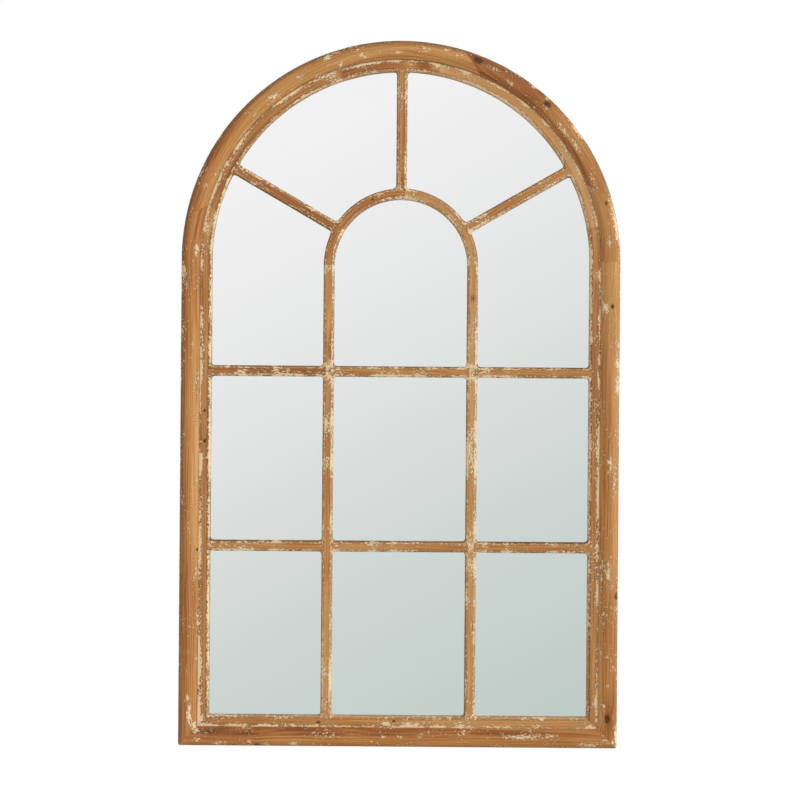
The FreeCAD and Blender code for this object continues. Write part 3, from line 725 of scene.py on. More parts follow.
def become_mesh(piece):
    """Replaces a piece's mesh by its evaluated one, and removes its modifiers."""
    bpy.context.view_layer.update()
    evaluated = piece.evaluated_get(bpy.context.evaluated_depsgraph_get())
    mesh = bpy.data.meshes.new_from_object(evaluated)
    piece.modifiers.clear()
    piece.data = mesh
    return mesh


def point_values(mesh, name, width=1):
    values = np.zeros(len(mesh.vertices) * width, np.float32)
    source = mesh.attributes[name].data
    source.foreach_get("value" if width == 1 else "vector", values)
    return values.reshape(-1, width) if width > 1 else values


def face_outwards(mesh):
    """Flips a closed mesh whose signed volume is negative."""
    mesh.calc_loop_triangles()
    corners = np.array([vertex.co for vertex in mesh.vertices])
    triangles = np.array([triangle.vertices[:] for triangle in mesh.loop_triangles])
    a, b, c = (corners[triangles[:, index]] for index in range(3))
    if np.einsum("ij,ij->i", a, np.cross(b, c)).sum() < 0:
        mesh.flip_normals()


# %% [markdown]
# Knots and marks are written on the finished mesh's points. They could be painted in the material
# instead, with one mask for each, but that is a hundred nodes more, and a point every few
# millimetres is fine enough, because the noise in the material gives them their ragged outlines.

# %% Knots, flecks of paint and streaks
def add_knots(mesh, knots):
    """A knot is darkest in its middle, and the grain flows round it."""
    grain = point_values(mesh, "grain", 3)
    across = point_values(mesh, "across")
    front = point_values(mesh, "depth") < FACE + 0.006
    strength = np.zeros(len(across), np.float32)
    for knot in knots:
        ahead = (grain[:, 0] - knot.along) / (1.5 * knot.size)
        aside = (across - knot.across) / knot.size
        far = ahead ** 2 + aside ** 2
        strength = np.maximum(strength, np.where(front, np.exp(-far), 0.0))
        push = np.exp(-far / 6.0) * knot.size * 1.6
        grain[:, 1] += np.where(front, push * np.sign(aside) * np.minimum(np.abs(aside), 1.0), 0.0)
    add_point_values(mesh, "knot", strength)
    mesh.attributes["grain"].data.foreach_set("vector", grain.ravel())


def add_marks(mesh, marks):
    """Adds each mark's paint and tone, strongest in its middle; length and width are halves."""
    grain, across = point_values(mesh, "grain", 3), point_values(mesh, "across")
    front = point_values(mesh, "depth") < FACE + 0.008
    patch, tone = point_values(mesh, "patch"), point_values(mesh, "tone")
    for mark in marks:
        ahead = (grain[:, 0] - mark.along) / mark.length
        aside = (across - mark.across) / mark.width
        field = np.where(front, np.exp(-(ahead ** 2 + aside ** 2)), 0.0)
        patch = np.maximum(patch, mark.paint * field)
        tone = tone + mark.tone * field
    mesh.attributes["patch"].data.foreach_set("value", patch.astype(np.float32))
    mesh.attributes["tone"].data.foreach_set("value", tone.astype(np.float32))


def flecks(*places):
    """Marks of paint from (along, across, half length)."""
    return [Mark(*place) for place in places]


def streaks(*places):
    """Darker, redder wood from (along, across, half length)."""
    return [Mark(*place, 0.0035, 0.0, -0.24) for place in places]


def tinted(*places):
    """Paler or darker wood from (along, across, half length, half width, tone)."""
    return [Mark(*place, 0.0, tone) for *place, tone in places]


# %% Make one length
def make_length(node, section, runs, start=SQUARE, end=SQUARE, tone=((0, 0.5), (1, 0.5)),
                patches=(), knots=(), marks=(), soiling=0.5):
    """One wooden length; patches are (metres along, half length, strength) of left paint."""
    total = sum(run.length for run in runs)
    distances = ring_places(total)
    mesh = draw_chain(node, points_at(runs, distances))
    guide_places = np.linspace(-LEAD, total + LEAD, round((total + 2 * LEAD) / STEP) + 1)
    guide_line = draw_chain(f"{node}_guide", points_at(runs, guide_places))
    guide = bpy.data.objects.new(f"{node}_guide", guide_line)
    widening = np.ones(len(distances))
    if start.filler:
        widening += filler_widening(distances)
    if end.filler:
        widening += filler_widening(total - distances)
    patch = np.zeros(len(distances))
    for middle, half, strength in patches:
        middle = middle if middle >= 0 else total + middle
        patch = np.maximum(patch, strength * np.exp(-((distances - middle) / half) ** 2))
    add_point_values(mesh, "along", distances)
    add_point_values(mesh, "remaining", total - distances)
    add_point_values(mesh, "widening", widening)
    add_point_values(mesh, "patch", patch)
    add_point_values(mesh, "tone", spread(tone, distances / total))
    # How much of the section's grime and painted shade this piece gets.
    add_point_values(mesh, "soiling", np.full(len(distances), soiling))

    piece = bpy.data.objects.new(f"{node}_wood", mesh)
    bpy.context.scene.collection.objects.link(piece)
    modifier = piece.modifiers.new("moulding", "NODES")
    modifier.node_group = moulding_tree
    seed = 1.0 + len(mouldings)
    set_inputs(modifier, {
        "Guide": guide,
        "Section": sections[section],
        "Finish": old_fir,
        "Start slant": start.slant,
        "End slant": end.slant,
        "Easing": min(LONGEST_EASING, total / 2),
        "Start corner": start.corner,
        "End corner": end.corner,
        "Middle": BAR_WIDTH / 2 if section == "bar" else 0.0,
        "Dent": DENT_DEPTH,
        "Chip": CHIP_DEPTH,
        "Seed": seed,
    })
    made = become_mesh(piece)
    face_outwards(made)
    add_knots(made, knots)
    add_marks(made, marks)
    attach(piece, "frame")
    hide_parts(node)
    mouldings.append(piece)
    return piece


# %% [markdown]
# ## Joints of the curved lengths
# A scarf joint is cut on a slant, so that its outer end and its inner end lie at different angles.
# The path follows the outer edge and stops at the outer angle; the slant carries the rest.

# %% Where the curved lengths meet
Joint = namedtuple("Joint", "angle lean")          # degrees from the crown; lean is half the slant

CASING_JOINTS = {"left": Joint(-77, 2.5), "top": Joint(19.5, 3.5), "right": Joint(70.5, -2.8)}
SASH_JOINTS = {"left": -75, "crown_left": -18, "crown_right": 11, "right": 80}
FAN_JOINTS = (-90, -58, 3, 48, 90)


def outer_angle(joint):
    return joint.angle - joint.lean


def scarf(joint):
    """The slant of a scarf: metres along the outer edge for each metre across."""
    return Cut(2 * math.radians(joint.lean) * HALF_WIDTH / ROLL_WIDTH)


def outer_arch(start, finish):
    return arch(HALF_WIDTH, ARCH_Z, start, finish)


LEFT_FOOT, LEFT_SPRING = (-HALF_WIDTH, 0.0), (-HALF_WIDTH, ARCH_Z)
RIGHT_FOOT, RIGHT_SPRING = (HALF_WIDTH, 0.0), (HALF_WIDTH, ARCH_Z)


def degrees(angle):
    """Metres along the outer edge for an angle of the arch."""
    return HALF_WIDTH * math.radians(angle)


print("slants:", {name: round(scarf(joint).slant, 2) for name, joint in CASING_JOINTS.items()})

# %% [markdown]
# ## Casing
# Six lengths of roll moulding. The one right of the top is redder than the rest up to its knot, and
# the bottom rail is darker. The knots and the larger flecks of paint are placed one by one, in
# metres along the length and across it, and their outlines are left to the noise. The long paler
# and darker marks along the falls and the outer roundings are painted light and shade, in one
# place mixed with redder wood, and the lengths on the left get more grime and painted shade, as
# their outer roundings face away from the light.

# %% Make the casing
SEAM_START, SEAM_END = (0.0, 0.0014, 0.7), (-0.0001, 0.0014, 0.7)      # filler along a mitre

left, top, right = (CASING_JOINTS[name] for name in ("left", "top", "right"))
make_length(
    "casing_left_stile", "casing",
    [straight(LEFT_FOOT, LEFT_SPRING), outer_arch(-90, outer_angle(left))],
    MITRE_START, scarf(left), tone=((0, 0.52), (0.5, 0.57), (1, 0.50)), soiling=0.75,
    patches=[SEAM_START], knots=[Knot(0.357, 0.033, 0.0024)],
    marks=flecks((0.728, 0.023, 0.012), (0.708, 0.021, 0.005), (0.549, 0.017, 0.005),
                 (0.397, 0.017, 0.016), (0.172, 0.017, 0.005), (0.135, 0.017, 0.005),
                 (0.087, 0.017, 0.009), (0.056, 0.021, 0.022), (0.865, 0.004, 0.014),
                 (0.904, 0.028, 0.016), (0.036, 0.030, 0.012)))
make_length(
    "casing_arch_left", "casing", [outer_arch(outer_angle(left), outer_angle(top))],
    scarf(left), scarf(top), tone=((0, 0.50), (0.4, 0.58), (0.8, 0.54), (1, 0.42)), soiling=1.0,
    marks=flecks((0.013, 0.009, 0.011), (0.066, 0.019, 0.007), (0.161, 0.002, 0.006),
                 (0.288, 0.024, 0.009), (0.348, 0.021, 0.008), (0.412, 0.010, 0.006),
                 (0.432, 0.027, 0.007), (0.479, 0.022, 0.011), (0.545, 0.022, 0.010),
                 (0.600, 0.015, 0.006), (0.635, 0.010, 0.008), (0.658, 0.013, 0.010))
    # Painted light and shade: the inner fall is made paler, and the outer rounding darker, over most of the
    # length.
    + tinted((0.33, 0.026, 0.40, 0.008, 0.22), (0.40, 0.002, 0.50, 0.006, -0.14)))
make_length(
    "casing_arch_right", "casing", [outer_arch(outer_angle(top), outer_angle(right))],
    scarf(top), scarf(right), tone=((0, 0.17), (0.40, 0.20), (0.52, 0.44), (1, 0.46)), soiling=0.5,
    knots=[Knot(0.033, 0.011, 0.0070), Knot(0.187, 0.012, 0.0062)],
    marks=flecks((0.066, 0.015, 0.023), (0.108, 0.022, 0.011), (0.148, 0.002, 0.009),
                 (0.190, 0.018, 0.006), (0.180, 0.006, 0.006), (0.244, 0.021, 0.022),
                 (0.285, 0.021, 0.024), (0.357, 0.022, 0.023), (0.255, 0.003, 0.023))
    # Darker wood low on the inner fall: partly the wood's redder colour, partly painted shade where the fall faces
    # away from the light.
    + tinted((0.15, 0.030, 0.14, 0.003, -0.10), (0.30, 0.030, 0.12, 0.004, -0.14)))
make_length(
    "casing_shoulder", "casing", [outer_arch(outer_angle(right), 90)],
    scarf(right), SQUARE, tone=((0, 0.52), (1, 0.58)), soiling=0.1,
    knots=[Knot(0.006, 0.013, 0.0032)],
    marks=flecks((0.014, 0.022, 0.006), (0.042, 0.018, 0.006), (0.082, 0.021, 0.013))
    + [Mark(0.035, 0.004, 0.050, 0.006, 1.6)])
make_length(
    "casing_right_stile", "casing", [straight(RIGHT_SPRING, RIGHT_FOOT)],
    SQUARE, MITRE_END, tone=((0, 0.60), (0.5, 0.60), (1, 0.52)), soiling=0.2,
    patches=[SEAM_END],
    knots=[Knot(0.082, 0.015, 0.0035), Knot(0.609, 0.003, 0.005), Knot(0.832, 0.019, 0.006)],
    marks=flecks((0.084, 0.025, 0.008), (0.189, 0.004, 0.015), (0.228, 0.005, 0.013),
                 (0.364, 0.017, 0.026), (0.431, 0.011, 0.014), (0.563, 0.018, 0.020),
                 (0.591, 0.014, 0.008), (0.743, 0.011, 0.005), (0.773, 0.019, 0.005),
                 (0.876, 0.008, 0.010), (0.872, 0.003, 0.018))
    # The long tinted mark is painted shade: the inner fall, which faces away from the light, is a little darker
    # along the whole length.
    + streaks((0.832, 0.019, 0.040)) + tinted((0.45, 0.026, 0.60, 0.006, -0.05)))
make_length(
    "casing_bottom_rail", "casing", [straight(RIGHT_FOOT, LEFT_FOOT)],
    MITRE_START, MITRE_END, tone=((0, 0.42), (0.5, 0.42), (1, 0.40)), soiling=0.1,
    patches=[SEAM_START, SEAM_END], knots=[Knot(0.655, 0.003, 0.0040)],
    marks=flecks((0.766, 0.012, 0.009), (0.724, 0.005, 0.015), (0.668, 0.010, 0.005),
                 (0.637, 0.006, 0.011), (0.588, 0.007, 0.005), (0.427, 0.019, 0.006),
                 (0.396, 0.019, 0.011), (0.360, 0.022, 0.005), (0.176, 0.020, 0.031),
                 (0.121, 0.023, 0.013), (0.054, 0.007, 0.015), (0.016, 0.015, 0.013))
    + streaks((0.675, 0.024, 0.020), (0.568, 0.023, 0.035), (0.515, 0.023, 0.025),
              (0.429, 0.024, 0.050), (0.743, 0.026, 0.024), (0.20, 0.028, 0.060))
    # Painted shade and light: the inner fall, which faces up, is made darker, and the outer rounding, which faces
    # down, paler, along the whole length.
    + tinted((0.40, 0.027, 0.60, 0.007, -0.10), (0.40, 0.002, 0.60, 0.005, 0.12))
    + [Mark(0.766, 0.028, 0.012, 0.006, 1.3)])
print("casing pieces:", len(mouldings))

# %% [markdown]
# ## Sash
# The sash follows the same outer line, because its section is drawn from there. It keeps a patch
# of paint at each joint, where sandpaper didn't reach, and thick paint in the hollow beside the
# roll. A broad pale block is filler that was rubbed flat.

# %% Make the sash
SASH_PATCH = (0.011, 0.35)            # half length and strength
HOLLOW = ROLL_WIDTH + 0.001           # just inside the roll's lip


def sash_patches(*places):
    return [(place, *SASH_PATCH) for place in places]


def hollow_paint(*places):
    """Thick paint in the hollow beside the roll, from (along, half length)."""
    return [Mark(place, HOLLOW + 0.001, half, 0.0038, 1.4) for place, half in places]


def edge_paint(place, half, paint):
    """Paint along the rounded edge beside the mirror."""
    return [Mark(place, FACE_WIDTH - 0.002, half, 0.003, paint)]


def filled(*places):
    """A broad pale block between the hollow and the sash's edge, from (along, half length)."""
    return [Mark(place, HOLLOW + 0.005, half, 0.009, 0.9, 0.28) for place, half in places]


sash_angles = list(SASH_JOINTS.values())
make_length(
    "sash_left_stile", "sash",
    [straight(LEFT_FOOT, LEFT_SPRING), outer_arch(-90, sash_angles[0])],
    SASH_MITRE_START, SQUARE, tone=((0, 0.36), (0.6, 0.32), (1, 0.40)), soiling=1.0,
    patches=sash_patches(0.05, 0.364, 0.683, -0.01),
    knots=[Knot(0.610, 0.044, 0.0026), Knot(0.555, 0.045, 0.0030)],
    marks=hollow_paint((0.872, 0.015), (0.676, 0.022), (0.514, 0.025), (0.373, 0.033),
                       (0.171, 0.049), (0.060, 0.030), (0.78, 0.02))
    + filled((0.950, 0.018)) + [Mark(0.045, HOLLOW + 0.005, 0.014, 0.009, 1.3)]
    + edge_paint(0.30, 0.70, 0.75))
make_length(
    "sash_arch_left", "sash", [outer_arch(sash_angles[0], sash_angles[1])],
    tone=((0, 0.40), (0.3, 0.44), (1, 0.52)), soiling=0.7, patches=sash_patches(0.01, -0.012),
    marks=hollow_paint((0.037, 0.037), (0.094, 0.010), (0.136, 0.016), (0.272, 0.024))
    + filled((0.378, 0.014)) + edge_paint(0.02, 0.12, 0.7) + edge_paint(0.27, 0.10, 0.5))
make_length(
    "sash_crown", "sash", [outer_arch(sash_angles[1], sash_angles[2])],
    tone=((0, 0.44), (1, 0.46)), patches=sash_patches(degrees(19)),
    marks=hollow_paint((0.045, 0.050), (0.110, 0.020))
    + filled((0.141, 0.013), (degrees(28), 0.012))
    + tinted((0.172, HOLLOW + 0.006, 0.012, 0.008, -0.20)) + edge_paint(0.16, 0.06, 0.5))
make_length(
    "sash_arch_right", "sash", [outer_arch(sash_angles[2], sash_angles[3])],
    tone=((0, 0.72), (0.6, 0.68), (1, 0.64)), soiling=0.3,
    patches=sash_patches(degrees(48), -0.01),
    marks=hollow_paint((0.055, 0.010), (0.125, 0.030), (0.187, 0.022), (0.244, 0.012),
                       (0.360, 0.023))
    + filled((0.006, 0.012)) + edge_paint(0.12, 0.12, 0.8) + edge_paint(0.40, 0.14, 0.8))
right_stile_marks = hollow_paint(
    (0.103, 0.014), (0.180, 0.009), (0.222, 0.022), (0.328, 0.036), (0.425, 0.042),
    (0.610, 0.027), (0.807, 0.027)) + filled((0.026, 0.008)) + edge_paint(0.10, 0.30, 0.6)
make_length(
    "sash_right_stile", "sash",
    [outer_arch(sash_angles[3], 90), straight(RIGHT_SPRING, RIGHT_FOOT)],
    SQUARE, SASH_MITRE_END, tone=((0, 0.58), (1, 0.52)), soiling=0.8,
    patches=sash_patches(0.01, -0.364, -0.683, -0.05),
    marks=[mark._replace(along=mark.along + degrees(10)) for mark in right_stile_marks])
make_length(
    "sash_bottom_rail", "sash", [straight(RIGHT_FOOT, LEFT_FOOT)],
    SASH_MITRE_START, SASH_MITRE_END, tone=((0, 0.52), (1, 0.48)),
    patches=sash_patches(0.05, HALF_WIDTH + BAR_X, HALF_WIDTH - BAR_X, -0.05),
    knots=[Knot(0.544, 0.044, 0.0030), Knot(0.407, 0.047, 0.0026)],
    marks=hollow_paint((0.699, 0.018), (0.644, 0.015), (0.557, 0.015), (0.748, 0.018),
                       (0.373, 0.020), (0.327, 0.011), (0.05, 0.012))
    + flecks((0.420, 0.042, 0.006), (0.368, 0.043, 0.018)))
print("casing and sash pieces:", len(mouldings))

# %% [markdown]
# ## Glazing bars
# A bar's path is its left edge, so that `across` runs from 0 to the bar's width like the others'.
# Each bar butts against the flat band of the wood it meets. Filler was rubbed into those corners
# and painted, which leaves a small fillet and a cream patch.

# %% Make the bars
BAND = LAND / 2
JOINT_PAINT = 0.011
UPRIGHT_FOOT = FACE_WIDTH - EDGE_WIDTH


def left_edge(start, finish):
    """A straight run along the left edge of a bar whose centre line is given."""
    along = Vector((finish[0] - start[0], finish[1] - start[1])).normalized()
    aside = Vector((-along.y, along.x)) * (BAR_WIDTH / 2)
    first, last = ((spot[0] + aside.x, spot[1] + aside.y) for spot in (start, finish))
    return straight(first, last)


def joint_patches(strength=0.5):
    return [(0.004, JOINT_PAINT, strength), (-0.004, JOINT_PAINT, strength)]


LOWER, UPPER = (ROW_HEIGHTS[row] - UPRIGHT_FOOT for row in ("lower", "upper"))
BAR_MIDDLE = BAR_WIDTH / 2
upright_patches = {
    "left": [(LOWER, 0.012, 0.35), (UPPER, 0.013, 2.1), (UPPER - 0.10, 0.025, 0.75),
             (UPPER - 0.17, 0.010, 0.75), (LOWER - 0.23, 0.060, 0.75),
             (LOWER + 0.035, 0.008, 0.6)],
    "right": [(LOWER, 0.012, 1.3), (UPPER, 0.015, 2.2), (UPPER - 0.15, 0.060, 0.85),
              (LOWER - 0.035, 0.025, 0.85), (LOWER + 0.030, 0.010, 0.6),
              (LOWER - 0.10, 0.012, 0.6), (UPPER + 0.05, 0.020, 0.6)],
}
upright_marks = {
    "left": tinted((UPPER + 0.042, BAR_MIDDLE, 0.024, 0.008, -0.25),
                   (LOWER - 0.04, BAR_MIDDLE, 0.030, 0.008, -0.15)),
    "right": tinted((UPPER + 0.135, BAR_MIDDLE, 0.005, 0.005, -0.5)),
}
for side, sign, tone in (("left", 1, 0.54), ("right", -1, 0.60)):
    x = sign * BAR_X
    make_length(f"upright_bar_{side}", "bar", [left_edge((x, UPRIGHT_FOOT), (x, FAN_Z))],
                FILLED, SQUARE, tone=((0, tone), (1, tone)),
                patches=joint_patches() + upright_patches[side], marks=upright_marks[side])

INNER_X = -BAR_X - BAND
SASH_X = HALF_WIDTH - FACE_WIDTH + EDGE_WIDTH
ROW_TONES = {"lower": 0.47, "upper": 0.34}
worn_places = {"left": (0.030, 0.062, 0.125), "middle": (0.080, 0.115),
               "right": (0.020, 0.060, 0.140)}
spans = {"left": (-SASH_X, BAR_X - BAND), "middle": (-INNER_X, INNER_X),
         "right": (BAND - BAR_X, SASH_X)}
for row, height in ROW_HEIGHTS.items():
    tone = ROW_TONES[row]
    for place, (first, last) in spans.items():
        make_length(f"crossbar_{row}_{place}", "bar", [left_edge((first, height), (last, height))],
                    FILLED, FILLED, tone=((0, tone), (1, tone)), soiling=0.85,
                    patches=joint_patches() + [(spot, 0.010, 0.8) for spot in worn_places[place]])

fan_names = ("fan_haunch_left", "fan_arch_left", "fan_arch_right", "fan_haunch_right")
for node, start, finish in zip(fan_names, FAN_JOINTS, FAN_JOINTS[1:]):
    make_length(node, "bar", [arch(FAN_RADIUS + BAR_MIDDLE, FAN_Z, start, finish)],
                tone=((0, 0.46), (1, 0.48)), patches=joint_patches(0.45),
                knots=[Knot(0.085, BAR_MIDDLE, 0.0026)] if node == "fan_arch_left" else ())

# %% [markdown]
# The three spokes point at the middle of the inner arch, which lies lower than the middle of the
# outer one, so a side spoke is longer than it would be between rings with one centre.

# %% Make the spokes
SPOKE_ANGLE = math.radians(60)
land_radius = SIGHT_RADIUS + EDGE_WIDTH
for side, angle in (("left", -SPOKE_ANGLE), ("centre", 0.0), ("right", SPOKE_ANGLE)):
    drop = ARCH_Z - FAN_Z
    outer = drop * math.cos(angle) + math.sqrt(land_radius ** 2 - (drop * math.sin(angle)) ** 2)
    ends = [(radius * math.sin(angle), FAN_Z + radius * math.cos(angle))
            for radius in (FAN_RADIUS + BAND, outer)]
    make_length(f"spoke_{side}", "bar", [left_edge(*ends)], FILLED, FILLED,
                tone=((0, 0.42), (0.5, 0.36), (1, 0.44)),
                patches=[(0.004, JOINT_PAINT, 0.8), (0.035, 0.020, 0.6), (-0.045, 0.020, 0.4)])
print("wooden lengths:", len(mouldings))

# %% [markdown]
# ## Mirror
# The mirror plate's CAD shape is right, so it stays and only gets a material: a metal with the
# faint green of float glass. Its gloss changes a very little over the plate, as on a real one.

# %% Mirror material
def record_colour(slot):
    rows = frame["record"]["materials"]
    return next(row["base_color"][:3] for row in rows if row["slot"] == slot)


def object_place(tree):
    return add_node(tree, "ShaderNodeTexCoord")["Object"]


def make_mirror():
    material, tree = new_material("silvered_glass")
    place = object_place(tree)
    wave = noise(tree, place, 3.0, 1.0)
    silver = colour(record_colour("mirror"))
    worn = tuple(part * 0.985 for part in silver[:3])
    tint = mixed(tree, noise(tree, place, 6.0), silver, colour(worn))
    finish_material(tree, Base_Color=tint, Metallic=1.0, Roughness=0.015 + wave * 0.01)
    return material


silvered_glass = make_mirror()
print(silvered_glass.name, [round(part, 2) for part in record_colour("mirror")])

# %% [markdown]
# ## Board, dowels, pads and metal
# These pieces are plain, and their CAD shapes are right. Each gets the fine structure that its
# stuff has close up: short fibres in the board, pores in the dowels, cloudy dulling and scratches
# in the plated metal, and dust on the rubber. The base colours come from the record.

# %% Board, dowels, pads and metal
def make_board():
    """Fibreboard: a felt of short fibres, with paler and darker specks."""
    material, tree = new_material("fibreboard")
    place = object_place(tree)
    squeezed = vector_math(tree, "MULTIPLY", place, (420.0, 420.0, 950.0))
    fibres = noise(tree, squeezed, 1.0, 3.0, 0.7)
    cloud = noise(tree, place, 9.0, 3.0)
    base = record_colour("fibreboard")
    tint = mixed(tree, fibres * 0.6 + cloud * 0.4, colour([part * 0.72 for part in base]),
                 colour([min(1.0, part * 1.25) for part in base]))
    finish_material(tree, Base_Color=tint, Roughness=0.78 + fibres * 0.12,
                    Normal=bumped(tree, fibres, 0.0002))
    return material


def make_bare_wood():
    """Plain beech for the dowels: fine pores along the piece."""
    material, tree = new_material("plain_beech")
    place = object_place(tree)
    pores = noise(tree, vector_math(tree, "MULTIPLY", place, (900.0, 900.0, 90.0)), 1.0, 3.0)
    base = record_colour("dowel_wood")
    tint = mixed(tree, pores, colour([part * 0.8 for part in base]), colour(base))
    finish_material(tree, Base_Color=tint, Roughness=0.6 + pores * 0.1,
                    Normal=bumped(tree, pores, 0.0001))
    return material


def make_metal(name, slot, shine):
    """Plated steel: cloudy dulling, fine scratches and a slightly uneven skin."""
    material, tree = new_material(name)
    place = object_place(tree)
    cloud = noise(tree, place, 160.0, 4.0, 0.6)
    squeezed = vector_math(tree, "MULTIPLY", place, (400.0, 2600.0, 1500.0))
    scratch = noise(tree, squeezed, 1.0, 2.0)
    base = record_colour(slot)
    tint = mixed(tree, cloud, colour([part * 0.66 for part in base]), colour(base))
    finish_material(tree, Base_Color=tint, Metallic=1.0,
                    Roughness=shine + cloud * 0.22 + scratch * 0.08,
                    Normal=bumped(tree, scratch * 0.4 + cloud, 0.00008))
    return material


def make_rubber():
    """Soft rubber: a fine matt grain with a little dust on it."""
    material, tree = new_material("soft_rubber")
    place = object_place(tree)
    grit = noise(tree, place, 1800.0, 2.0)
    dust = noise(tree, place, 220.0, 3.0).rise(0.5, 0.8)
    tint = mixed(tree, dust * 0.5, colour(record_colour("rubber")), colour((0.16, 0.15, 0.14)))
    finish_material(tree, Base_Color=tint, Roughness=0.72 + grit * 0.15,
                    Normal=bumped(tree, grit, 0.0001))
    return material


finishes = {
    "mirror_plate": silvered_glass,
    "backing_board": make_board(),
    "casing_dowels": make_bare_wood(),
    "mirror_setting_pads": make_rubber(),
}
zinc = make_metal("zinc_plate", "zinc", 0.30)
brass = make_metal("dulled_brass", "brassed_steel", 0.24)
for side in ("left", "right"):
    finishes[f"hanger_strap_{side}"] = brass
    finishes[f"hanger_ring_{side}"] = brass

# %% Give the CAD nodes their materials
def dress(node, material):
    """Puts a material in every slot of a CAD node; its mesh is left alone."""
    slots = frame["nodes"][node].material_slots
    for each in slots:
        each.material = material
    return len(slots)


for node, material in finishes.items():
    print(node, "slots", dress(node, material))

# %% [markdown]
# ## Screws and bumpers
# Turned pieces repeat, so Geometry Nodes makes them: a profile is spun about its axis, a cross is
# cut into a screw's head, and a copy goes to every point, each turned a little differently.

# %% The turning tree
HUB_RADIUS, HUB_MERGE = 1e-6, 5e-6     # the hub is merged into one point, so the pole is closed
CROSS_REACH = 4.4                      # a cross's length over its width


def make_turning_tree(name, has_cross):
    sockets = {"Profile": "Object", "Segments": "Int", "Cross width": "Float",
               "Cross depth": "Float", "Head": "Float", "Finish": "Material"}
    tree = new_geometry_tree(name, sockets)
    given = add_node(tree, "NodeGroupInput")
    profile = drawn_curve(tree, given["Profile"])
    hub = add_node(tree, "GeometryNodeCurvePrimitiveCircle", {"mode": "RADIUS"},
                   {"Resolution": given["Segments"], "Radius": HUB_RADIUS})["Curve"]
    spun = add_node(tree, "GeometryNodeCurveToMesh", {},
                    {"Curve": hub, "Profile Curve": profile})[0]
    turned = add_node(tree, "GeometryNodeMergeByDistance", {},
                      {"Geometry": spun, "Distance": HUB_MERGE})[0]
    if has_cross:
        width, deep = given["Cross width"], given["Cross depth"]
        top = vector(tree, 0.0, 0.0, 0.0 - given["Head"])
        arms = (vector(tree, width * CROSS_REACH, width, deep * 2.0),
                vector(tree, width, width * CROSS_REACH, deep * 2.0))
        for arm in arms:
            block = add_node(tree, "GeometryNodeMeshCube", {}, {"Size": arm})["Mesh"]
            block = add_node(tree, "GeometryNodeTransform", {},
                             {"Geometry": block, "Translation": top})[0]
            turned = add_node(tree, "GeometryNodeMeshBoolean", {"operation": "DIFFERENCE"},
                              {"Mesh 1": turned, "Mesh 2": block})["Mesh"]
    points = add_node(tree, "GeometryNodeMeshToPoints", {}, {"Mesh": given["Geometry"]})["Points"]
    turn = vector(tree, math.pi / 2, attribute(tree, "turn"), 0.0)
    placed = add_node(tree, "GeometryNodeInstanceOnPoints", {},
                      {"Points": points, "Instance": turned, "Rotation": turn})["Instances"]
    real = add_node(tree, "GeometryNodeRealizeInstances", {}, {"Geometry": placed})[0]
    done = add_node(tree, "GeometryNodeSetMaterial", {},
                    {"Geometry": real, "Material": given["Finish"]})[0]
    add_node(tree, "NodeGroupOutput", {}, [done])
    return tree


screw_tree = make_turning_tree("turned_screws", True)
pad_tree = make_turning_tree("turned_pads", False)
print("turning trees:", len(screw_tree.nodes), "and", len(pad_tree.nodes), "nodes")

# %% [markdown]
# The points are the middles of the CAD solids that the copies stand for, so each screw sits where
# the construction drilled for it. A CAD node's mesh is loose triangles, so a copy of it is merged
# first, and then its connected parts are walked one after the other.

# %% Find where the CAD has its copies
def solid_boxes(node):
    """The box of each separate solid in a CAD node, as lowest and highest corner."""
    shape = bmesh.new()
    shape.from_mesh(frame["nodes"][node].data)
    bmesh.ops.remove_doubles(shape, verts=shape.verts, dist=1e-6)
    waiting, boxes = set(shape.verts), []
    while waiting:
        group, edge = [], [waiting.pop()]
        while edge:
            vertex = edge.pop()
            group.append(vertex.co.copy())
            for link in vertex.link_edges:
                other = link.other_vert(vertex)
                if other in waiting:
                    waiting.discard(other)
                    edge.append(other)
        corners = np.array(group)
        boxes.append((Vector(corners.min(axis=0)), Vector(corners.max(axis=0))))
    shape.free()
    return sorted(boxes, key=lambda box: tuple(round(part, 4) for part in box[0]))


def draw_profile(name, points):
    return bpy.data.objects.new(name, draw_chain(name, [(*point, 0.0) for point in points]))


def make_copies(name, node, tree, profile, head, material, cross=(0.0, 0.0)):
    """Turned copies that stand `head` proud of the wood, one for each solid of a CAD node."""
    places = []
    for low, high in solid_boxes(node):
        middle = (low + high) / 2
        places.append((middle.x, high.y - head, middle.z))
    mesh = bpy.data.meshes.new(name)
    mesh.from_pydata(places, [], [])
    add_point_values(mesh, "turn", [(index * 0.77) % 1.5 for index in range(len(places))])
    piece = bpy.data.objects.new(name, mesh)
    bpy.context.scene.collection.objects.link(piece)
    modifier = piece.modifiers.new("copies", "NODES")
    modifier.node_group = tree
    set_inputs(modifier, {"Profile": profile, "Segments": 28, "Cross width": cross[0],
                          "Cross depth": cross[1], "Head": head, "Finish": material})
    made = become_mesh(piece)
    face_outwards(made)
    made.shade_smooth()
    made.set_sharp_from_angle(angle=math.radians(35))
    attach(piece, "frame")
    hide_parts(node)
    print(name, len(places), "copies,", len(made.polygons), "faces")
    return piece


# %% [markdown]
# A screw's profile runs from its tip up the shank and over the domed head, and a bumper's from the
# wood up its side and over a soft rim.

# %% Turn the screws and the bumpers
SCREW_HEAD, SCREW_HEAD_RADIUS = 0.0016, 0.0035
SCREW_SHANK_RADIUS, SCREW_LENGTH = 0.0015, 0.014
SCREW_CROSS = (0.0009, 0.0010)         # width and depth


def dome(radius, foot, top, count=6):
    """Radius and height from the rim of a domed head to its middle."""
    rise = top - foot
    ball = (radius ** 2 + rise ** 2) / (2 * rise)
    places = [radius * (1 - step / count) for step in range(count + 1)]
    return [(place, top - ball + math.sqrt(ball ** 2 - place ** 2)) for place in places]


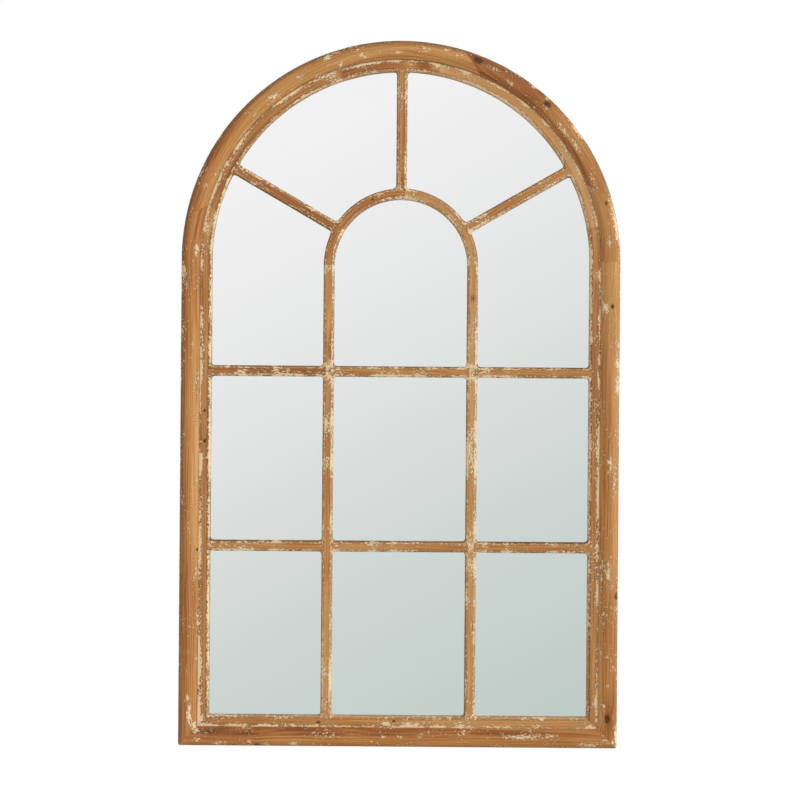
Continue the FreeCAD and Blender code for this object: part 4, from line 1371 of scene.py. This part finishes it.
screw_profile = draw_profile("screw_profile", [
    (0.0, -SCREW_LENGTH), (SCREW_SHANK_RADIUS, -SCREW_LENGTH + 0.003), (SCREW_SHANK_RADIUS, 0.0),
    (SCREW_HEAD_RADIUS, 0.0), *dome(SCREW_HEAD_RADIUS, 0.0005, SCREW_HEAD)])
for node in ("backing_screws", "hanger_screws"):
    make_copies(f"{node}_turned", node, screw_tree, screw_profile, SCREW_HEAD, zinc,
                cross=SCREW_CROSS)

BUMPER_RADIUS, BUMPER_HEIGHT = 0.005, 0.0045
RIM_START, RIM_WIDTH, RIM_HEIGHT = 0.0024, 0.0016, 0.0021
rim = [(BUMPER_RADIUS - RIM_WIDTH + RIM_WIDTH * math.cos(turn),
        RIM_START + RIM_HEIGHT * math.sin(turn)) for turn in np.linspace(0.0, math.pi / 2, 6)]
bumper_profile = draw_profile("bumper_profile", [
    (0.0, 0.0), (BUMPER_RADIUS, 0.0), (BUMPER_RADIUS, 0.0022), *rim, (0.0, BUMPER_HEIGHT)])
make_copies("wall_bumpers_turned", "wall_bumpers", pad_tree, bumper_profile, BUMPER_HEIGHT,
            finishes["mirror_setting_pads"])

# %% [markdown]
# ## Studio
# The photograph was taken straight on through a long lens, against white. The picture is 1.4579 m
# wide at the frame's front, so a 100 mm lens stands a little over 4 m away. The mirror turns by a
# small angle in the picture, so the camera is rolled by the same angle the other way.

# %% Camera
PICTURE_WIDTH = 1.4579
LENS, SENSOR = 0.100, 0.036
AIM = Vector((0.0001, -0.007, 0.6321))
ROLL = math.radians(0.44)

camera_data = bpy.data.cameras.new("camera")
camera_data.lens, camera_data.sensor_width = LENS * 1000, SENSOR * 1000
camera = bpy.data.objects.new("camera", camera_data)
bpy.context.scene.collection.objects.link(camera)
camera.location = AIM - Vector((0.0, PICTURE_WIDTH * LENS / SENSOR, 0.0))
look = Matrix.Rotation(math.pi / 2, 4, "X") @ Matrix.Rotation(ROLL, 4, "Z")
camera.rotation_euler = look.to_euler()
bpy.context.scene.camera = camera
print("camera at", [round(part, 4) for part in camera.location])

# %% [markdown]
# A flat mirror shows only what stands behind the camera. In the photograph that is one even
# gradient, near white at the top left and a soft grey green at the bottom right. A large card there
# gives it. Only glossy rays see the card, so it neither lights the wood nor shows in other views.

# %% Reflection card
CARD_Y = -6.0
CARD_STRENGTH = 1.05
CARD_STOPS = [
    (0.00, (0.983, 0.950, 0.972)), (0.10, (0.954, 0.922, 0.943)), (0.27, (0.887, 0.875, 0.887)),
    (0.41, (0.815, 0.820, 0.830)), (0.60, (0.720, 0.749, 0.743)), (0.76, (0.657, 0.701, 0.694)),
    (1.00, (0.583, 0.646, 0.632)),
]
SIDEWAYS, DOWNWARDS = 0.1634, 0.3085      # change of the gradient for each metre of card
CARD_LEVEL = 0.427                        # the gradient at the card's middle


def stage_object(name, corners, material):
    mesh = bpy.data.meshes.new(name)
    mesh.from_pydata(corners, [], [tuple(range(len(corners)))])
    mesh.materials.append(material)
    made = bpy.data.objects.new(name, mesh)
    bpy.context.scene.collection.objects.link(made)
    return made


def make_card_material():
    material, tree = new_material("card_gradient")
    place = add_node(tree, "ShaderNodeSeparateXYZ", {}, [object_place(tree)])
    level = CARD_LEVEL + place["X"] * SIDEWAYS - (place["Z"] - AIM.z) * DOWNWARDS
    shade = add_node(tree, "ShaderNodeValToRGB", {"stops": CARD_STOPS}, [level])["Color"]
    glow = add_node(tree, "ShaderNodeEmission", {},
                    {"Color": shade, "Strength": CARD_STRENGTH})["Emission"]
    add_node(tree, "ShaderNodeOutputMaterial", {}, {"Surface": glow})
    return material


CARD_CORNERS = [(-7, CARD_Y, -4), (7, CARD_Y, -4), (7, CARD_Y, 6), (-7, CARD_Y, 6)]
card = stage_object("reflection_card", CARD_CORNERS, make_card_material())
card.visible_camera = False
card.visible_diffuse = False
card.visible_shadow = False
card.visible_transmission = False
print(card.name, "seen by glossy rays only, at y", CARD_Y)

# %% [markdown]
# The wood is bright on its right sides and dark on its left ones, so one wide soft light stands far
# to the right and a little in front; the pale room does the rest. A surface that faces the camera
# gets about as much light as makes a colour render as it is written.

# %% Light and room
ROOM_GREY = (0.55, 0.55, 0.55)         # what lights the object; the eye sees plain white
LIGHT_STRENGTH, LIGHT_SPREAD = 4.0, math.radians(90)
LIGHT_FROM = Vector((0.88, -0.50, -0.12))


def make_room():
    world = bpy.data.worlds.new("room")
    world.use_nodes = True
    tree = world.node_tree
    tree.nodes.clear()
    rays = add_node(tree, "ShaderNodeLightPath")
    seen = rays["Is Camera Ray"].at_least(rays["Is Glossy Ray"])
    seen = seen.at_least(rays["Is Transmission Ray"])
    shade = mixed(tree, seen, colour(ROOM_GREY), colour((1.0, 1.0, 1.0)))
    glow = add_node(tree, "ShaderNodeBackground", {},
                    {"Color": shade, "Strength": 1.0})["Background"]
    add_node(tree, "ShaderNodeOutputWorld", {}, {"Surface": glow})
    bpy.context.scene.world = world


make_room()
soft_light = bpy.data.lights.new("soft_light", "SUN")
soft_light.energy = LIGHT_STRENGTH
soft_light.angle = LIGHT_SPREAD
lamp = bpy.data.objects.new("soft_light", soft_light)
bpy.context.scene.collection.objects.link(lamp)
lamp.rotation_euler = LIGHT_FROM.to_track_quat("Z", "Y").to_euler()
print("light from", [round(part, 2) for part in LIGHT_FROM.normalized()])

# %% [markdown]
# The floor is pale paint, and the camera sees it nearly white, so that the picture's ground is
# plain. A small share of its real shading is left, and with it the object's shadow.

# %% Floor
FLOOR_SIZE = 30.0
FLOOR_PAINT = (0.9, 0.9, 0.9, 1.0)
FLOOR_STRENGTH, FLOOR_SHARE = 1.05, 0.92       # the white that the camera sees, and its share


def make_floor_material():
    material, tree = new_material("pale_floor")
    shader = add_node(tree, "ShaderNodeBsdfDiffuse", {}, {"Color": FLOOR_PAINT})["BSDF"]
    glow = add_node(tree, "ShaderNodeEmission", {},
                    {"Color": (1, 1, 1, 1), "Strength": FLOOR_STRENGTH})["Emission"]
    seen = add_node(tree, "ShaderNodeLightPath")["Is Camera Ray"] * FLOOR_SHARE
    blend = add_node(tree, "ShaderNodeMixShader", {}, [seen, shader, glow])["Shader"]
    add_node(tree, "ShaderNodeOutputMaterial", {}, {"Surface": blend})
    return material


floor_corners = [(FLOOR_SIZE * x, FLOOR_SIZE * y, 0)
                 for x, y in ((-1, -1), (1, -1), (1, 1), (-1, 1))]
floor = stage_object("floor", floor_corners, make_floor_material())
floor.visible_glossy = False
print(floor.name, 2 * FLOOR_SIZE, "m across")

# %% [markdown]
# The last cell shows colours as they are, without a film curve.

# %% Finish
settings = bpy.context.scene.view_settings
settings.view_transform = "Standard"
